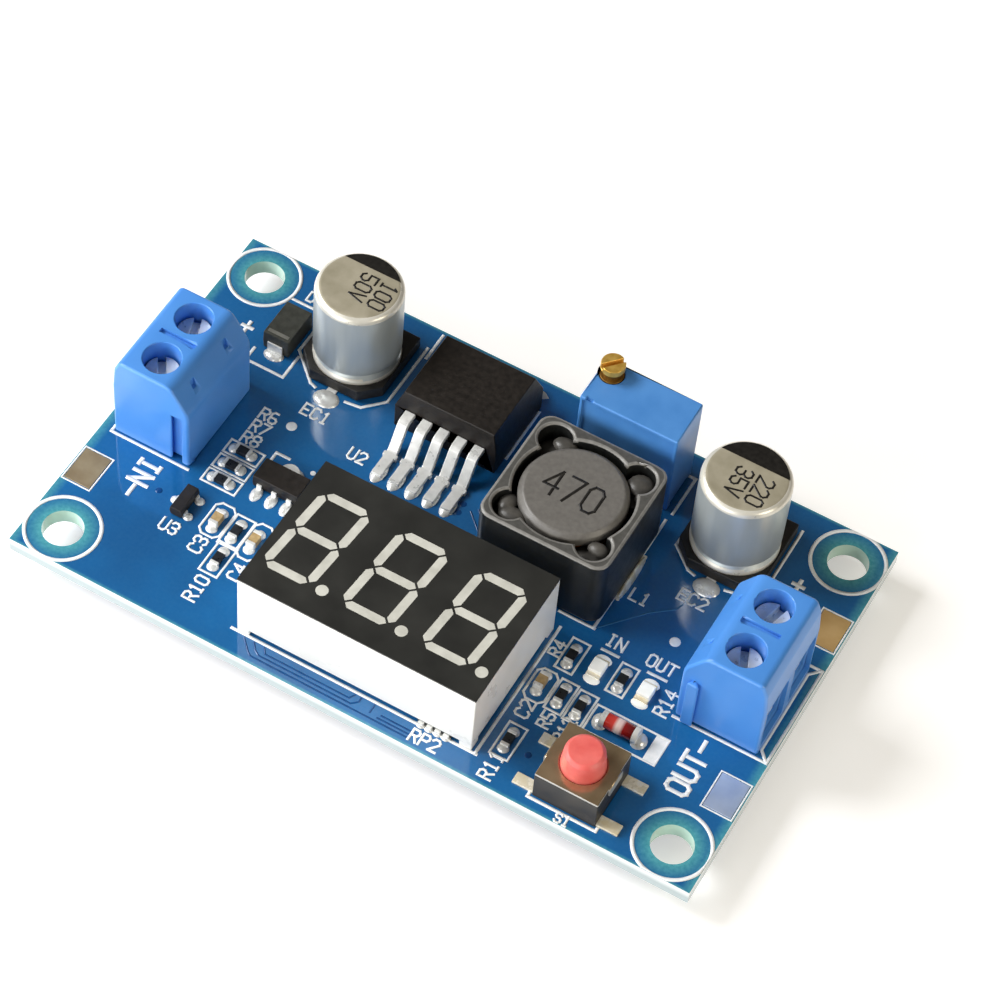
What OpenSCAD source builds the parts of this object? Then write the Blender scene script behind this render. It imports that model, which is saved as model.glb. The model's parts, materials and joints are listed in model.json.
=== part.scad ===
// Buck converter module: a step-down power board with a three-digit voltmeter,
// screw terminals at both ends, a multi-turn trimmer and a push button.
// Millimetres. +Z is up. The origin is under the centre of the board, and the tips of the pins
// stand at Z = 0. The input terminal is at -X, the output terminal at +X, the display towards -Y.

/* [Board] */
// Length of the board, along X
board_l = 66; // [66:1:80]
// Width of the board, along Y
board_w = 39.4; // [39.4:0.2:50]
// Thickness of the board
board_t = 1.6; // [0.8:0.2:2.4]
// Diameter of the four mounting holes
hole_d = 3.7; // [2.5:0.1:4]
// Distance of each mounting hole from both of its edges
hole_inset = 3.3; // [2.8:0.1:3.6]
// Length of every pin below the board
pin_stick = 2.4; // [1.4:0.1:4]

/* [Screw terminals] */
// Distance between the two poles
pole_pitch = 5.08; // [4.9:0.02:5.4]
// Depth of the housing, from the board side to the wire side
terminal_depth = 7.75; // [7.4:0.05:8.2]
// Height of the housing
terminal_h = 10; // [9.5:0.1:13]
// Distance from the housing to the end of the board
terminal_setback = 1.25; // [0.8:0.05:1.5]
// Diameter of the screw holes in the top
screw_hole_d = 3.4; // [3.2:0.1:3.6]
// Diameter of the screw's head
screw_head_d = 3.1; // [2.8:0.1:3.1]
// Diameter of the screw's shank
screw_d = 2.4; // [2:0.1:2.5]
// Height of the wire space inside the cage
cage_inside_h = 3.6; // [3.4:0.1:3.9]
// Wall of the cage
cage_wall = 0.4; // [0.3:0.05:0.5]

/* [Capacitors] */
// Diameter of both cans
can_d = 8; // [6.3:0.1:8.2]
// Height of both capacitors above the board
can_top = 10.4; // [6:0.1:16]

/* [Inductor] */
// Side of the square ferrite shell
inductor_side = 12.4; // [11:0.1:12.6]
// Height of the inductor above the board
inductor_h = 8.3; // [5:0.1:12]
// Diameter of the drum's flanges
drum_d = 9.6; // [8:0.1:9.8]

/* [Regulator] */
// Length of the moulded body, along X
regulator_l = 10.2; // [9.6:0.1:10.6]
// Height of the moulded body
regulator_h = 4.5; // [3.6:0.1:5]
// Pitch of the five leads
lead_pitch = 1.75; // [1.6:0.05:1.8]

/* [Trimmer] */
// Length of the trimmer, along X
trimmer_l = 9.5; // [9:0.1:10]
// Width of the trimmer, along Y
trimmer_w = 4.8; // [4.4:0.1:5]
// Height of the trimmer above the board
trimmer_h = 10; // [6:0.1:14]
// Diameter of the adjusting screw
trimmer_screw_d = 2.2; // [1.8:0.1:2.4]

/* [Display] */
// Length of the display, along X
display_l = 22.8; // [22.4:0.1:23.4]
// Width of the display, along Y
display_w = 14.2; // [13.2:0.1:14.4]
// Height of the display's face above the board
display_h = 7.6; // [4:0.1:12]
// Height of a digit
digit_h = 9.3; // [7:0.1:10]
// Width of a digit, without its slant
digit_w = 5; // [4:0.1:5.2]
// Width of a segment
segment_t = 0.8; // [0.5:0.05:1]

/* [Button] */
// Side of the button's body
button_side = 5.9; // [5.6:0.1:6.2]
// Height of the button's cover above the board
button_h = 3.4; // [3.1:0.1:4]
// Diameter of the plunger
plunger_d = 3.9; // [3:0.1:4.1]
// How far the plunger stands above the cover
plunger_stick = 2.05; // [0.8:0.05:4]

/* [Hidden] */

$fn = 48;
// Radial clearance of every running fit
fit = 0.05;
// Gap round a pin in its drilled hole
drill_gap = 0.1;
// Extra length of a cutting shape past a face
past = 1;

// Height of the board's upper face, on which every part is placed
top = pin_stick + board_t;

// Board size for which the places below are given; on another board the parts spread with it
layout_l = 66;
layout_w = 39.4;
function spread(p) = [p[0] * board_l / layout_l, p[1] * board_w / layout_w];

// Places of the parts on the board, from its centre
input_capacitor_at = spread([-17.8, 12.8]);
output_capacitor_at = spread([20.4, 12.6]);
regulator_at = spread([-6.2, 12.6]);
inductor_at = spread([8.1, 4.9]);
trimmer_at = spread([8.9, 15.2]);
display_at = spread([-0.15, -10.2]);
button_at = spread([20.55, -15.4]);
input_diode_at = spread([-24.3, 11.6]);
small_regulator_at = spread([-16.05, -2.8]);
small_transistor_at = spread([-22.2, -8.8]);
glass_diode_at = spread([20.9, -9.2]);
resistor_array_at = [display_at[0] + 7.8, display_at[1] - display_w / 2 + 0.6];

// Places of the small chips, whose long side runs along X or along Y
resistors_along_x = [for (p = [[-20.9, -1.4], [-20.9, -3.2], [-20.9, -5]]) spread(p)];
resistors_along_y = [for (p = [
    [-16.9, -8.9], [-16.7, -12.1], [13.9, -4.8], [18.7, -4.7], [15.05, -8.7], [16.95, -8.9], [13.4, -14.8]
]) spread(p)];
chip_capacitor_places = [for (p = [[-18.9, -8.8], [-15, -9], [13, -8.5]]) spread(p)];
led_places = [for (p = [[16.4, -4.8], [21, -4.8]]) spread(p)];

// Tinned pads at the board's ends
pad_size = [2.6, 3.6, 0.08];
pad_margin = 0.3;
pad_y = [for (p = [[0, -10], [0, 9.1]]) spread(p)[1]];

// Solder cones under the board: width at the board and height
big_cone = [2.6, 1];
small_cone = [1.8, 0.7];
solder_film = 0.24;

// Screw terminals: the local X runs from the board side to the wires, the local Y along the poles
terminal_y = -0.2;
terminal_x = board_l / 2 - terminal_setback - terminal_depth;
terminal_w = 2 * pole_pitch;
terminal_slope = [1.85, 2.9];
terminal_chamfer = [0.5, 1.2];
terminal_bulge = [0.2, 3.5];
dovetail_x = 1.25;
dovetail_depth = 0.5;
dovetail_h = 6.2;
dovetail_root = 0.6;
dovetail_tip = 1.3;
dovetail_gap = 0.1;
pin_d = 1;
screw_x = 4.2;
cage_x = 2.1;
cage_lip = 0.85;
cage_depth = terminal_depth - cage_lip - cage_x;
cage_floor = 0.9;
cage_half = screw_d / 2 + 0.25 + cage_wall;
cage_plate = 0.8;
cage_top = cage_floor + cage_wall + cage_inside_h + cage_plate;
clamp_t = 0.5;
clamp_up = 1.3;
clamp_rib = [0.3, 0.15];
clamp_z = cage_top - cage_plate - clamp_up - clamp_t;
screw_head_h = 1.3;
screw_recess = 1.8;
screw_slot = [0.7, 0.7];
screw_tip = clamp_z + clamp_t;
screw_head_z = terminal_h - screw_recess - screw_head_h;
terminal_fronts = [0, 2, 1.2, 0.6, 1, 0, 0];
pole_groove = [3.6, 0.5, 0.4];
slope_notch = [0.75, 0.6, 0.5];
entry_lip = 0.4;
entry_flare = 0.55;

// Display
display_standoff = 0.6;
display_foot = 1.2;
face_t = 0.15;
segment_depth = 0.7;
segment_gap = 0.14;
segment_slant = 4.8;
digit_pitch = display_l / 3;
digit_shift = [-0.28, -0.13];
point_d = 1.1;
display_pin_d = 0.5;
display_pin_pitch = 2.54;
display_pin_rows = 10.16;
display_pin_places = [for (row = [-1, 1]) for (i = [row > 0 ? 1 : 0 : 5])
    display_at + [(i - 2.5) * display_pin_pitch, row * display_pin_rows / 2]];

// Trimmer
trimmer_standoff = 0.4;
trimmer_screw_inset = 1.2;
trimmer_screw_stick = 1.5;
trimmer_screw_seat = 1.6;
trimmer_pin_d = 0.5;
trimmer_pin_places = [for (i = [-1:1]) trimmer_at + [i * 2.54, 0]];

// Both terminals' pins and every drilled hole: place and pin diameter
terminal_pin_x = terminal_x + cage_x + cage_depth / 2;
terminal_pin_places = [for (end = [-1, 1]) for (pole = [-1, 1])
    [end * terminal_pin_x, terminal_y + pole * pole_pitch / 2]];

// One arc of points for a profile
function arc(centre, r, from, to, steps) =
    [for (i = [0:steps]) let (a = from + (to - from) * i / steps) centre + r * [cos(a), sin(a)]];

// A profile with each corner rounded to its own radius, 0 for a sharp corner; the points run clockwise
function eased(points, radii, steps = 4) = let (n = len(points)) [for (i = [0:n - 1])
    let (p = points[i], r = radii[i], a = toward(p, points[(i + n - 1) % n]), b = toward(p, points[(i + 1) % n]))
    each r == 0 ? [p] : let (half = acos(a * b) / 2, centre = p + toward([0, 0], a + b) * r / sin(half))
        arc(centre, r, heading(b) + 90 + 180 - 2 * half, heading(b) + 90, steps)];
function toward(p, q) = (q - p) / norm(q - p);
function heading(v) = atan2(v[1], v[0]);

// Puts a part on the board's upper face
module on_board(at, turn = 0) {
    translate([at[0], at[1], top]) rotate(turn) children();
}

// A plain block that is centred in X and Y and stands on z
module block(size, z = 0) {
    translate([-size[0] / 2, -size[1] / 2, z]) cube(size);
}

// ---------------------------------------------------------------- board

module circuit_board() {
    hole_x = board_l / 2 - hole_inset;
    hole_y = board_w / 2 - hole_inset;
    color("steelblue") difference() {
        block([board_l, board_w, board_t], pin_stick);
        for (x = [-hole_x, hole_x]) for (y = [-hole_y, hole_y])
            translate([x, y, pin_stick - past]) cylinder(d = hole_d, h = board_t + 2 * past);
        drills(terminal_pin_places, pin_d);
        drills(display_pin_places, display_pin_d);
        drills(trimmer_pin_places, trimmer_pin_d);
    }
}

module drills(places, pin) {
    for (p = places) translate([p[0], p[1], pin_stick - past])
        cylinder(d = pin + 2 * drill_gap, h = board_t + 2 * past, $fn = 24);
}

// Tinned pads at the board's ends, beside the terminals
module edge_pads() {
    x = board_l / 2 - pad_margin - pad_size[0] / 2;
    color("goldenrod") for (end = [-1, 1]) for (y = pad_y) on_board([end * x, y]) block(pad_size);
}

// Solder cones round the pins, under the board
module pin_solder() {
    color("silver") {
        solder_cones(terminal_pin_places, pin_d, big_cone);
        solder_cones(display_pin_places, display_pin_d, small_cone);
        solder_cones(trimmer_pin_places, trimmer_pin_d, small_cone);
    }
}

module solder_cones(places, pin, cone) {
    h = cone[1];
    for (p = places) translate([p[0], p[1], pin_stick - h]) difference() {
        cylinder(d1 = pin + solder_film, d2 = cone[0], h = h, $fn = 24);
        translate([0, 0, -past]) cylinder(d = pin, h = h + 2 * past, $fn = 24);
    }
}

// ---------------------------------------------------------------- screw terminals

// Turns and places one end's terminal: 1 is the output, -1 the input
module at_terminal(end) {
    translate([0, terminal_y, top]) rotate(end > 0 ? 0 : 180) translate([terminal_x, 0, 0]) children();
}

module at_pole(end, pole) {
    at_terminal(end) translate([0, end * pole * pole_pitch / 2, 0]) children();
}

module terminal_housing() {
    outline = [
        [0, 0], [0, terminal_h - terminal_slope[1]], [terminal_slope[0], terminal_h],
        [terminal_depth - terminal_bulge[0] - terminal_chamfer[0], terminal_h],
        [terminal_depth - terminal_bulge[0], terminal_h - terminal_chamfer[1]],
        [terminal_depth, terminal_h - terminal_bulge[1]], [terminal_depth, 0]
    ];
    difference() {
        union() {
            translate([0, terminal_w / 2, 0]) rotate([90, 0, 0]) linear_extrude(terminal_w)
                polygon(eased(outline, terminal_fronts));
            translate([dovetail_x, -terminal_w / 2, 0]) linear_extrude(dovetail_h)
                polygon(dovetail(dovetail_root, dovetail_tip, -dovetail_depth));
        }
        translate([dovetail_x, terminal_w / 2, -past]) linear_extrude(dovetail_h + past)
            polygon(dovetail(dovetail_root + 2 * dovetail_gap, dovetail_tip + 2 * dovetail_gap,
                             -dovetail_depth - dovetail_gap));
        translate([screw_x, 0, terminal_h - pole_groove[2]]) block([pole_groove[0], pole_groove[1], past]);
        for (pole = [-1, 1]) translate([0, pole * pole_pitch / 2, 0]) pole_space();
    }
}

// A dovetail's section, from its wide face at y = reach back to its root at y = 0
function dovetail(root, tip, reach) =
    [[-root / 2, 0], [root / 2, 0], [tip / 2, reach], [-tip / 2, reach]];

// What is cut from the housing for one pole
module pole_space() {
    half = cage_half + fit;
    entry_w = 2 * (cage_half - cage_wall);
    entry_z = cage_floor + cage_wall;
    translate([cage_x - fit, -half, cage_floor])
        cube([terminal_depth, 2 * half, cage_top - cage_floor + fit]);
    translate([screw_x, 0, cage_floor]) cylinder(d = screw_hole_d, h = terminal_h);
    translate([cage_x + cage_depth / 2, 0, -past]) cylinder(d = pin_d + 2 * fit, h = cage_floor + 2 * past);
    translate([terminal_slope[0] / 2, 0, terminal_h - terminal_slope[1] / 2])
        block([slope_notch[0], slope_notch[1], 2 * slope_notch[2]], -slope_notch[2]);
    translate([terminal_depth, 0, entry_z - entry_flare])
        block([2 * entry_lip, entry_w + 2 * entry_flare, cage_inside_h + 2 * entry_flare]);
}

// The box that holds the wire, with its threaded roof and its pin
module cage() {
    inner = cage_half - cage_wall;
    color("gainsboro") difference() {
        union() {
            translate([cage_x, -cage_half, cage_floor])
                cube([cage_depth, 2 * cage_half, cage_top - cage_floor]);
            translate([cage_x + cage_depth / 2, 0, -top]) cylinder(d = pin_d, h = top + cage_floor, $fn = 24);
        }
        translate([cage_x + cage_wall, -inner, cage_floor + cage_wall])
            cube([cage_depth, 2 * inner, cage_inside_h]);
        translate([screw_x, 0, cage_floor + cage_wall]) cylinder(d = screw_d + 2 * fit, h = terminal_h);
    }
}

// The plate that the screw presses onto the wire, with two gripping ribs below
module clamp_plate() {
    half = cage_half - cage_wall - fit;
    front = cage_x + cage_wall + fit;
    length = cage_depth - cage_wall - 2 * fit;
    color("silver") {
        translate([front, -half, clamp_z]) cube([length, 2 * half, clamp_t]);
        for (x = [length / 3, 2 * length / 3]) translate([front + x, 0, clamp_z - clamp_rib[1]])
            block([clamp_rib[0], 2 * half, clamp_rib[1] + clamp_t / 2]);
    }
}

// The screw, with its slot at an angle to the poles
module clamp_screw(turn) {
    color("lightgray") translate([screw_x, 0, 0]) rotate(turn) difference() {
        union() {
            translate([0, 0, screw_tip]) cylinder(d = screw_d, h = screw_head_z - screw_tip);
            translate([0, 0, screw_head_z]) cylinder(d = screw_head_d, h = screw_head_h);
        }
        translate([0, 0, screw_head_z + screw_head_h - screw_slot[1]])
            block([screw_head_d + past, screw_slot[0], screw_slot[1] + past]);
    }
}

module input_terminal() { color("cornflowerblue") at_terminal(-1) terminal_housing(); }
module output_terminal() { color("cornflowerblue") at_terminal(1) terminal_housing(); }
module input_minus_cage() { at_pole(-1, -1) cage(); }
module input_plus_cage() { at_pole(-1, 1) cage(); }
module output_minus_cage() { at_pole(1, -1) cage(); }
module output_plus_cage() { at_pole(1, 1) cage(); }
module input_minus_clamp() { at_pole(-1, -1) clamp_plate(); }
module input_plus_clamp() { at_pole(-1, 1) clamp_plate(); }
module output_minus_clamp() { at_pole(1, -1) clamp_plate(); }
module output_plus_clamp() { at_pole(1, 1) clamp_plate(); }
module input_minus_screw() { at_pole(-1, -1) clamp_screw(-55); }
module input_plus_screw() { at_pole(-1, 1) clamp_screw(-70); }
module output_minus_screw() { at_pole(1, -1) clamp_screw(112); }
module output_plus_screw() { at_pole(1, 1) clamp_screw(75); }

// ---------------------------------------------------------------- electrolytic capacitors

capacitor_lead = [0.9, 3.6, 0.15];
capacitor_lead_stick = 0.5;
capacitor_base_side = can_d + 0.3;
capacitor_base_top = 0.9;
capacitor_base_wall = 0.55;
capacitor_chamfer = 1.7;
can_foot = 0.3;
can_shoulder = 0.6;
can_waist_z = 1.3;
can_waist_h = 1.1;
can_waist_depth = 0.4;

// A drawn can with a rolled foot, a crimped waist and a rounded shoulder
module capacitor_can() {
    r = can_d / 2;
    h = can_top - capacitor_base_top;
    profile = concat(
        [[0, 0]], arc([r - can_foot, can_foot], can_foot, -90, 0, 4),
        [for (i = [0:8]) [r - can_waist_depth * (1 - cos(45 * i)) / 2,
                          can_waist_z + (i / 8 - 0.5) * can_waist_h]],
        arc([r - can_shoulder, h - can_shoulder], can_shoulder, 0, 90, 6), [[0, h]]
    );
    color("lightgray") translate([0, 0, capacitor_base_top]) rotate_extrude($fn = 64) polygon(profile);
}

// The moulded base: chamfered at two corners, with a low wall round the can's foot
module capacitor_base() {
    s = capacitor_base_side / 2;
    c = capacitor_chamfer;
    h = capacitor_base_top + capacitor_base_wall - capacitor_lead[2];
    outline = [[-s + c, -s], [s - c, -s], [s, -s + c], [s, s], [-s, s], [-s, -s + c]];
    color("dimgray") difference() {
        translate([0, 0, capacitor_lead[2]]) linear_extrude(h) polygon(outline);
        translate([0, 0, capacitor_base_top]) cylinder(d = can_d + 2 * fit, h = h, $fn = 64);
    }
}

module capacitor_leads() {
    reach = (capacitor_base_side - capacitor_lead[1]) / 2 + capacitor_lead_stick;
    color("silver") for (y = [-reach, reach]) translate([0, y, 0]) block(capacitor_lead);
}

module input_capacitor_can() { on_board(input_capacitor_at) capacitor_can(); }
module input_capacitor_base() { on_board(input_capacitor_at) capacitor_base(); }
module input_capacitor_leads() { on_board(input_capacitor_at) capacitor_leads(); }
module output_capacitor_can() { on_board(output_capacitor_at) capacitor_can(); }
module output_capacitor_base() { on_board(output_capacitor_at) capacitor_base(); }
module output_capacitor_leads() { on_board(output_capacitor_at) capacitor_leads(); }

// ---------------------------------------------------------------- switching regulator

regulator_w = 8.6;
tab_t = 1.3;
regulator_lead_z = 2.35;
regulator_lead_t = 0.5;
regulator_lead_w = 1;
regulator_lead_reach = 5.8;
regulator_lead_slope = 55;
regulator_lead_bend = 0.3;
regulator_lead_knee = 0.9;
dambar = [1.35, 0.45];
regulator_draft = 0.6;
tab_stick = 1.5;
tab_inset = 0.6;
tab_corner = 0.8;

// The moulding is widest where the leads leave it and tapers to its flat top
module regulator_body() {
    draft = 2 * regulator_draft;
    parting = regulator_lead_z + regulator_lead_t;
    color("#2b2723") on_board(regulator_at) difference() {
        union() {
            block([regulator_l, regulator_w, parting]);
            hull() {
                block([regulator_l, regulator_w, 0.01], parting);
                block([regulator_l - draft, regulator_w - draft, 0.01], regulator_h - 0.01);
            }
        }
        regulator_tab_shape();
        regulator_lead_shapes();
    }
}

// The cooling tab runs under the body and stands out behind it
module regulator_tab_shape() {
    x = regulator_l / 2 - tab_inset;
    y = regulator_w / 2 + tab_stick;
    c = tab_corner;
    linear_extrude(tab_t) polygon([[-x, 0], [x, 0], [x, y - c], [x - c, y], [c - x, y], [-x, y - c]]);
}

// Five gull-wing leads
module regulator_lead_shapes() {
    t = regulator_lead_t;
    over = regulator_lead_z + t;
    a = regulator_lead_slope;
    in = regulator_lead_bend;
    out = in + t;
    root = regulator_w / 2;
    knee = root + regulator_lead_knee;
    ankle = knee + (in + out + (over - 2 * out) * cos(a)) / sin(a);
    tip = root + regulator_lead_reach;
    bite = 0.5;
    high = [-knee, over - out];
    foot = [-ankle, out];
    side = concat(
        [[bite - root, over - t], [bite - root, over]], arc(high, out, 90, 90 + a, 4),
        arc(foot, in, 270 + a, 270, 4), [[-tip, t], [-tip, 0]], arc(foot, out, 270, 270 + a, 4),
        arc(high, in, 90 + a, 90, 4)
    );
    for (i = [-2:2]) translate([i * lead_pitch, 0, 0]) {
        translate([-regulator_lead_w / 2, 0, 0]) rotate([90, 0, 90]) linear_extrude(regulator_lead_w)
            polygon(side);
        translate([0, -ankle - dambar[1] / 2, 0]) block([dambar[0], dambar[1], t]);
    }
}

module regulator_tab() { color("silver") on_board(regulator_at) regulator_tab_shape(); }
module regulator_leads() { color("silver") on_board(regulator_at) regulator_lead_shapes(); }

// ---------------------------------------------------------------- inductor

inductor_terminal_t = 0.3;
inductor_terminal = [3.4, 5.2];
inductor_terminal_stick = 0.3;
inductor_corner = 1.3;
glue_notch_d = 3;
glue_notch_in = 0.757;
drum_gap = 0.5;
drum_flange = 1.3;
drum_post_d = 5;
drum_edge = 0.45;

// A square ferrite ring with a round opening and a notch for glue in each corner
module inductor_shell() {
    s = inductor_side / 2;
    r = inductor_corner;
    notch_at = (drum_d / 2 + drum_gap) * glue_notch_in;
    color("dimgray") on_board(inductor_at) difference() {
        translate([0, 0, inductor_terminal_t]) linear_extrude(inductor_h - inductor_terminal_t)
            polygon(concat(arc([s - r, s - r], r, 0, 90, 5), arc([r - s, s - r], r, 90, 180, 5),
                           arc([r - s, r - s], r, 180, 270, 5), arc([s - r, r - s], r, 270, 360, 5)));
        cylinder(d = drum_d + 2 * drum_gap, h = inductor_h + past, $fn = 64);
        for (x = [-1, 1]) for (y = [-1, 1]) translate([x, y, 0] * notch_at)
            cylinder(d = glue_notch_d, h = inductor_h + past, $fn = 24);
    }
}

// The drum that carries the winding between its two flanges
module inductor_drum() {
    r = drum_d / 2;
    p = drum_post_d / 2;
    h = inductor_h - inductor_terminal_t;
    f = drum_flange;
    color("gray") on_board(inductor_at) translate([0, 0, inductor_terminal_t]) rotate_extrude($fn = 64)
        polygon([[0, 0], [r, 0], [r, f], [p, f], [p, h - f], [r, h - f], [r, h - drum_edge],
                 [r - drum_edge, h], [0, h]]);
}

module inductor_winding() {
    z = inductor_terminal_t + drum_flange;
    h = inductor_h - drum_flange - z;
    color("peru") on_board(inductor_at) translate([0, 0, z]) difference() {
        cylinder(d = drum_d - 0.8, h = h, $fn = 64);
        translate([0, 0, -past]) cylinder(d = drum_post_d, h = h + 2 * past);
    }
}

// Two flat terminals under the shell, each standing a little out of its side
module inductor_terminals() {
    size = [inductor_terminal[0], inductor_terminal[1], inductor_terminal_t];
    x = (inductor_side - size[0]) / 2 + inductor_terminal_stick;
    color("silver") on_board(inductor_at) for (end = [-1, 1]) translate([end * x, 0, 0]) block(size);
}

// ---------------------------------------------------------------- trimmer

trimmer_screw_at = [trimmer_screw_inset - trimmer_l / 2, trimmer_w / 2 - trimmer_screw_inset];
trimmer_foot = [1, 0.8];
trimmer_notch = [0.6, 0.35, 0.5];
trimmer_notch_x = 0.9;
trimmer_panel = [0.35, 0.25, 0.4];
trimmer_slot = [0.4, 0.5];
trimmer_head_t = 0.7;
trimmer_neck_d = 1.6;
trimmer_slot_turn = 49;

module trimmer_housing() {
    foot = [trimmer_foot[0], trimmer_foot[1], trimmer_standoff];
    color("cornflowerblue") on_board(trimmer_at) {
        difference() {
            block([trimmer_l, trimmer_w, trimmer_h - trimmer_standoff], trimmer_standoff);
            translate([trimmer_screw_at[0], trimmer_screw_at[1], trimmer_h - trimmer_screw_seat])
                cylinder(d = trimmer_screw_d + 2 * fit, h = trimmer_screw_seat + past);
            translate([trimmer_notch_x - trimmer_l / 2, -trimmer_w / 2, trimmer_h - trimmer_notch[2]])
                block([trimmer_notch[0], 2 * trimmer_notch[1], past]);
            translate([0, -trimmer_w / 2, -past]) block([
                trimmer_l - 2 * trimmer_panel[0], 2 * trimmer_panel[1], trimmer_h - trimmer_panel[2] + past
            ]);
        }
        for (x = [-1, 1]) for (y = [-1, 1])
            translate([x * (trimmer_l - foot[0]) / 2, y * (trimmer_w - foot[1]) / 2, 0]) block(foot);
    }
}

module trimmer_screw() {
    length = trimmer_screw_seat + trimmer_screw_stick;
    color("darkgoldenrod") on_board(trimmer_at + trimmer_screw_at)
        translate([0, 0, trimmer_h - trimmer_screw_seat]) rotate(trimmer_slot_turn) difference() {
            union() {
                cylinder(d = trimmer_neck_d, h = length);
                cylinder(d = trimmer_screw_d, h = trimmer_screw_seat);
                translate([0, 0, length - trimmer_head_t]) cylinder(d = trimmer_screw_d, h = trimmer_head_t);
            }
            translate([0, 0, length - trimmer_slot[1]])
                block([trimmer_screw_d + past, trimmer_slot[0], trimmer_slot[1] + past]);
        }
}

module trimmer_pins() {
    color("silver") board_pins(trimmer_pin_places, trimmer_pin_d, trimmer_standoff);
}

// Round pins from a part's underside to Z = 0
module board_pins(places, d, up) {
    for (p = places) translate([p[0], p[1], 0]) cylinder(d = d, h = top + up, $fn = 24);
}

// ---------------------------------------------------------------- display

module display_housing() {
    foot = [display_foot, display_foot, display_standoff];
    color("whitesmoke") on_board(display_at) {
        difference() {
            block([display_l, display_w, display_h - face_t - display_standoff], display_standoff);
            translate([0, 0, display_h - segment_depth]) linear_extrude(segment_depth)
                for (i = [-1:1]) digit_outline(i);
        }
        for (x = [-1, 1]) for (y = [-1, 1])
            translate([x * (display_l - foot[0]) / 2, y * (display_w - foot[1]) / 2, 0]) block(foot);
    }
}

// The dark printed face, open at every segment
module display_face() {
    color("#302e2a") on_board(display_at) translate([0, 0, display_h - face_t])
        linear_extrude(face_t) difference() {
            square([display_l, display_w], center = true);
            for (i = [-1:1]) digit_outline(i);
        }
}

module display_digit(i) {
    color("gainsboro") on_board(display_at) translate([0, 0, display_h - segment_depth])
        linear_extrude(segment_depth) digit_outline(i);
}

// One digit's seven slanted segments and its point
module digit_outline(i) {
    w = digit_w - segment_t;
    h = digit_h - segment_t;
    across = bar(w / 2);
    upright = [for (p = bar(h / 4)) [p[1], p[0]]];
    translate([i * digit_pitch + digit_shift[0], digit_shift[1]]) {
        for (y = [-h / 2, 0, h / 2]) polygon(slant(across, [0, y]));
        for (x = [-w / 2, w / 2]) for (y = [-h / 4, h / 4]) polygon(slant(upright, [x, y]));
        translate([w / 2 + segment_t + point_d / 2 - 0.4, -h / 2]) circle(d = point_d, $fn = 24);
    }
}

// A bar with pointed ends, of the given half length between corner points
function bar(half) = let (l = half - segment_gap, t = segment_t / 2)
    [[-l, 0], [t - l, t], [l - t, t], [l, 0], [l - t, -t], [t - l, -t]];
function slant(points, shift) =
    [for (p = points) [p[0] + shift[0] + (p[1] + shift[1]) * tan(segment_slant), p[1] + shift[1]]];

module display_digit_1() { display_digit(-1); }
module display_digit_2() { display_digit(0); }
module display_digit_3() { display_digit(1); }
module display_pins() { color("silver") board_pins(display_pin_places, display_pin_d, display_standoff); }

// ---------------------------------------------------------------- push button

button_cover_t = 0.3;
button_floor = 1;
button_well_d = plunger_d + 1.2;
plunger_flange_t = 0.6;
button_travel = 0.25;
button_tab = [0.15, 2.2, 1];
button_lead = [2.6, 1.1, 0.25];
button_lead_y = 2.25;
button_lead_bite = 0.6;
plunger_flange = 0.4;
plunger_nub_d = 1.4;
plunger_edge = 0.3;
plunger_taper = 0.2;
dome_h = 0.4;
dome_t = 0.08;

module button_base() {
    h = button_h - button_cover_t;
    color("slategray") on_board(button_at) difference() {
        block([button_side, button_side, h]);
        translate([0, 0, button_floor]) cylinder(d = button_well_d, h = h);
        button_lead_shapes();
    }
}

// The pressed steel cover, open round the plunger, with a tab folded down at each side
module button_cover() {
    color("lightslategray") on_board(button_at) {
        difference() {
            block([button_side, button_side, button_cover_t], button_h - button_cover_t);
            cylinder(d = plunger_d + 2 * fit, h = button_h + past);
        }
        for (x = [-1, 1]) translate([x * (button_side + button_tab[0]) / 2, 0, button_h - button_tab[2]])
            block(button_tab);
    }
}

// The plunger's flange is held under the cover, and its nub presses the dome
module button_plunger() {
    under = button_h - button_cover_t;
    flange = under - plunger_flange_t;
    nub = button_floor + dome_h + button_travel + fit;
    nub_r = plunger_nub_d / 2;
    e = plunger_edge;
    r = plunger_d / 2;
    out = r + plunger_flange;
    tip = button_h + plunger_stick;
    profile = [[0, nub], [nub_r, nub], [nub_r, flange], [out, flange], [out, under], [r, under],
               [r, button_h], [r - plunger_taper, tip - e], [r - plunger_taper - e, tip], [0, tip]];
    color("salmon") on_board(button_at) rotate_extrude() polygon(profile);
}

// A thin snap dome on the well's floor
module button_dome() {
    r = button_well_d / 2 - 2 * fit;
    rise = dome_h - dome_t;
    big = (r * r + rise * rise) / (2 * rise);
    low = 90 - asin(r / big);
    centre = [0, dome_h - big];
    color("silver") on_board(button_at) translate([0, 0, button_floor]) rotate_extrude()
        polygon(concat(arc(centre, big, low, 90, 6), arc(centre, big - dome_t, 90, low, 6)));
}

module button_lead_shapes() {
    x = (button_side + button_lead[0]) / 2 - button_lead_bite;
    for (end = [-1, 1]) for (side = [-1, 1]) translate([end * x, side * button_lead_y, 0]) block(button_lead);
}

module button_leads() { color("silver") on_board(button_at) button_lead_shapes(); }

// ---------------------------------------------------------------- small parts

// A moulded block with tapered sides, drawn across and extruded along X
module moulded_block(length, width, h, z) {
    draft = 0.12;
    w = width / 2;
    mid = z + (h - z) / 2;
    translate([-length / 2, 0, 0]) rotate([90, 0, 90]) linear_extrude(length)
        polygon([[draft - w, z], [w - draft, z], [w, mid], [w - draft, h], [draft - w, h], [-w, mid]]);
}

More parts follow.
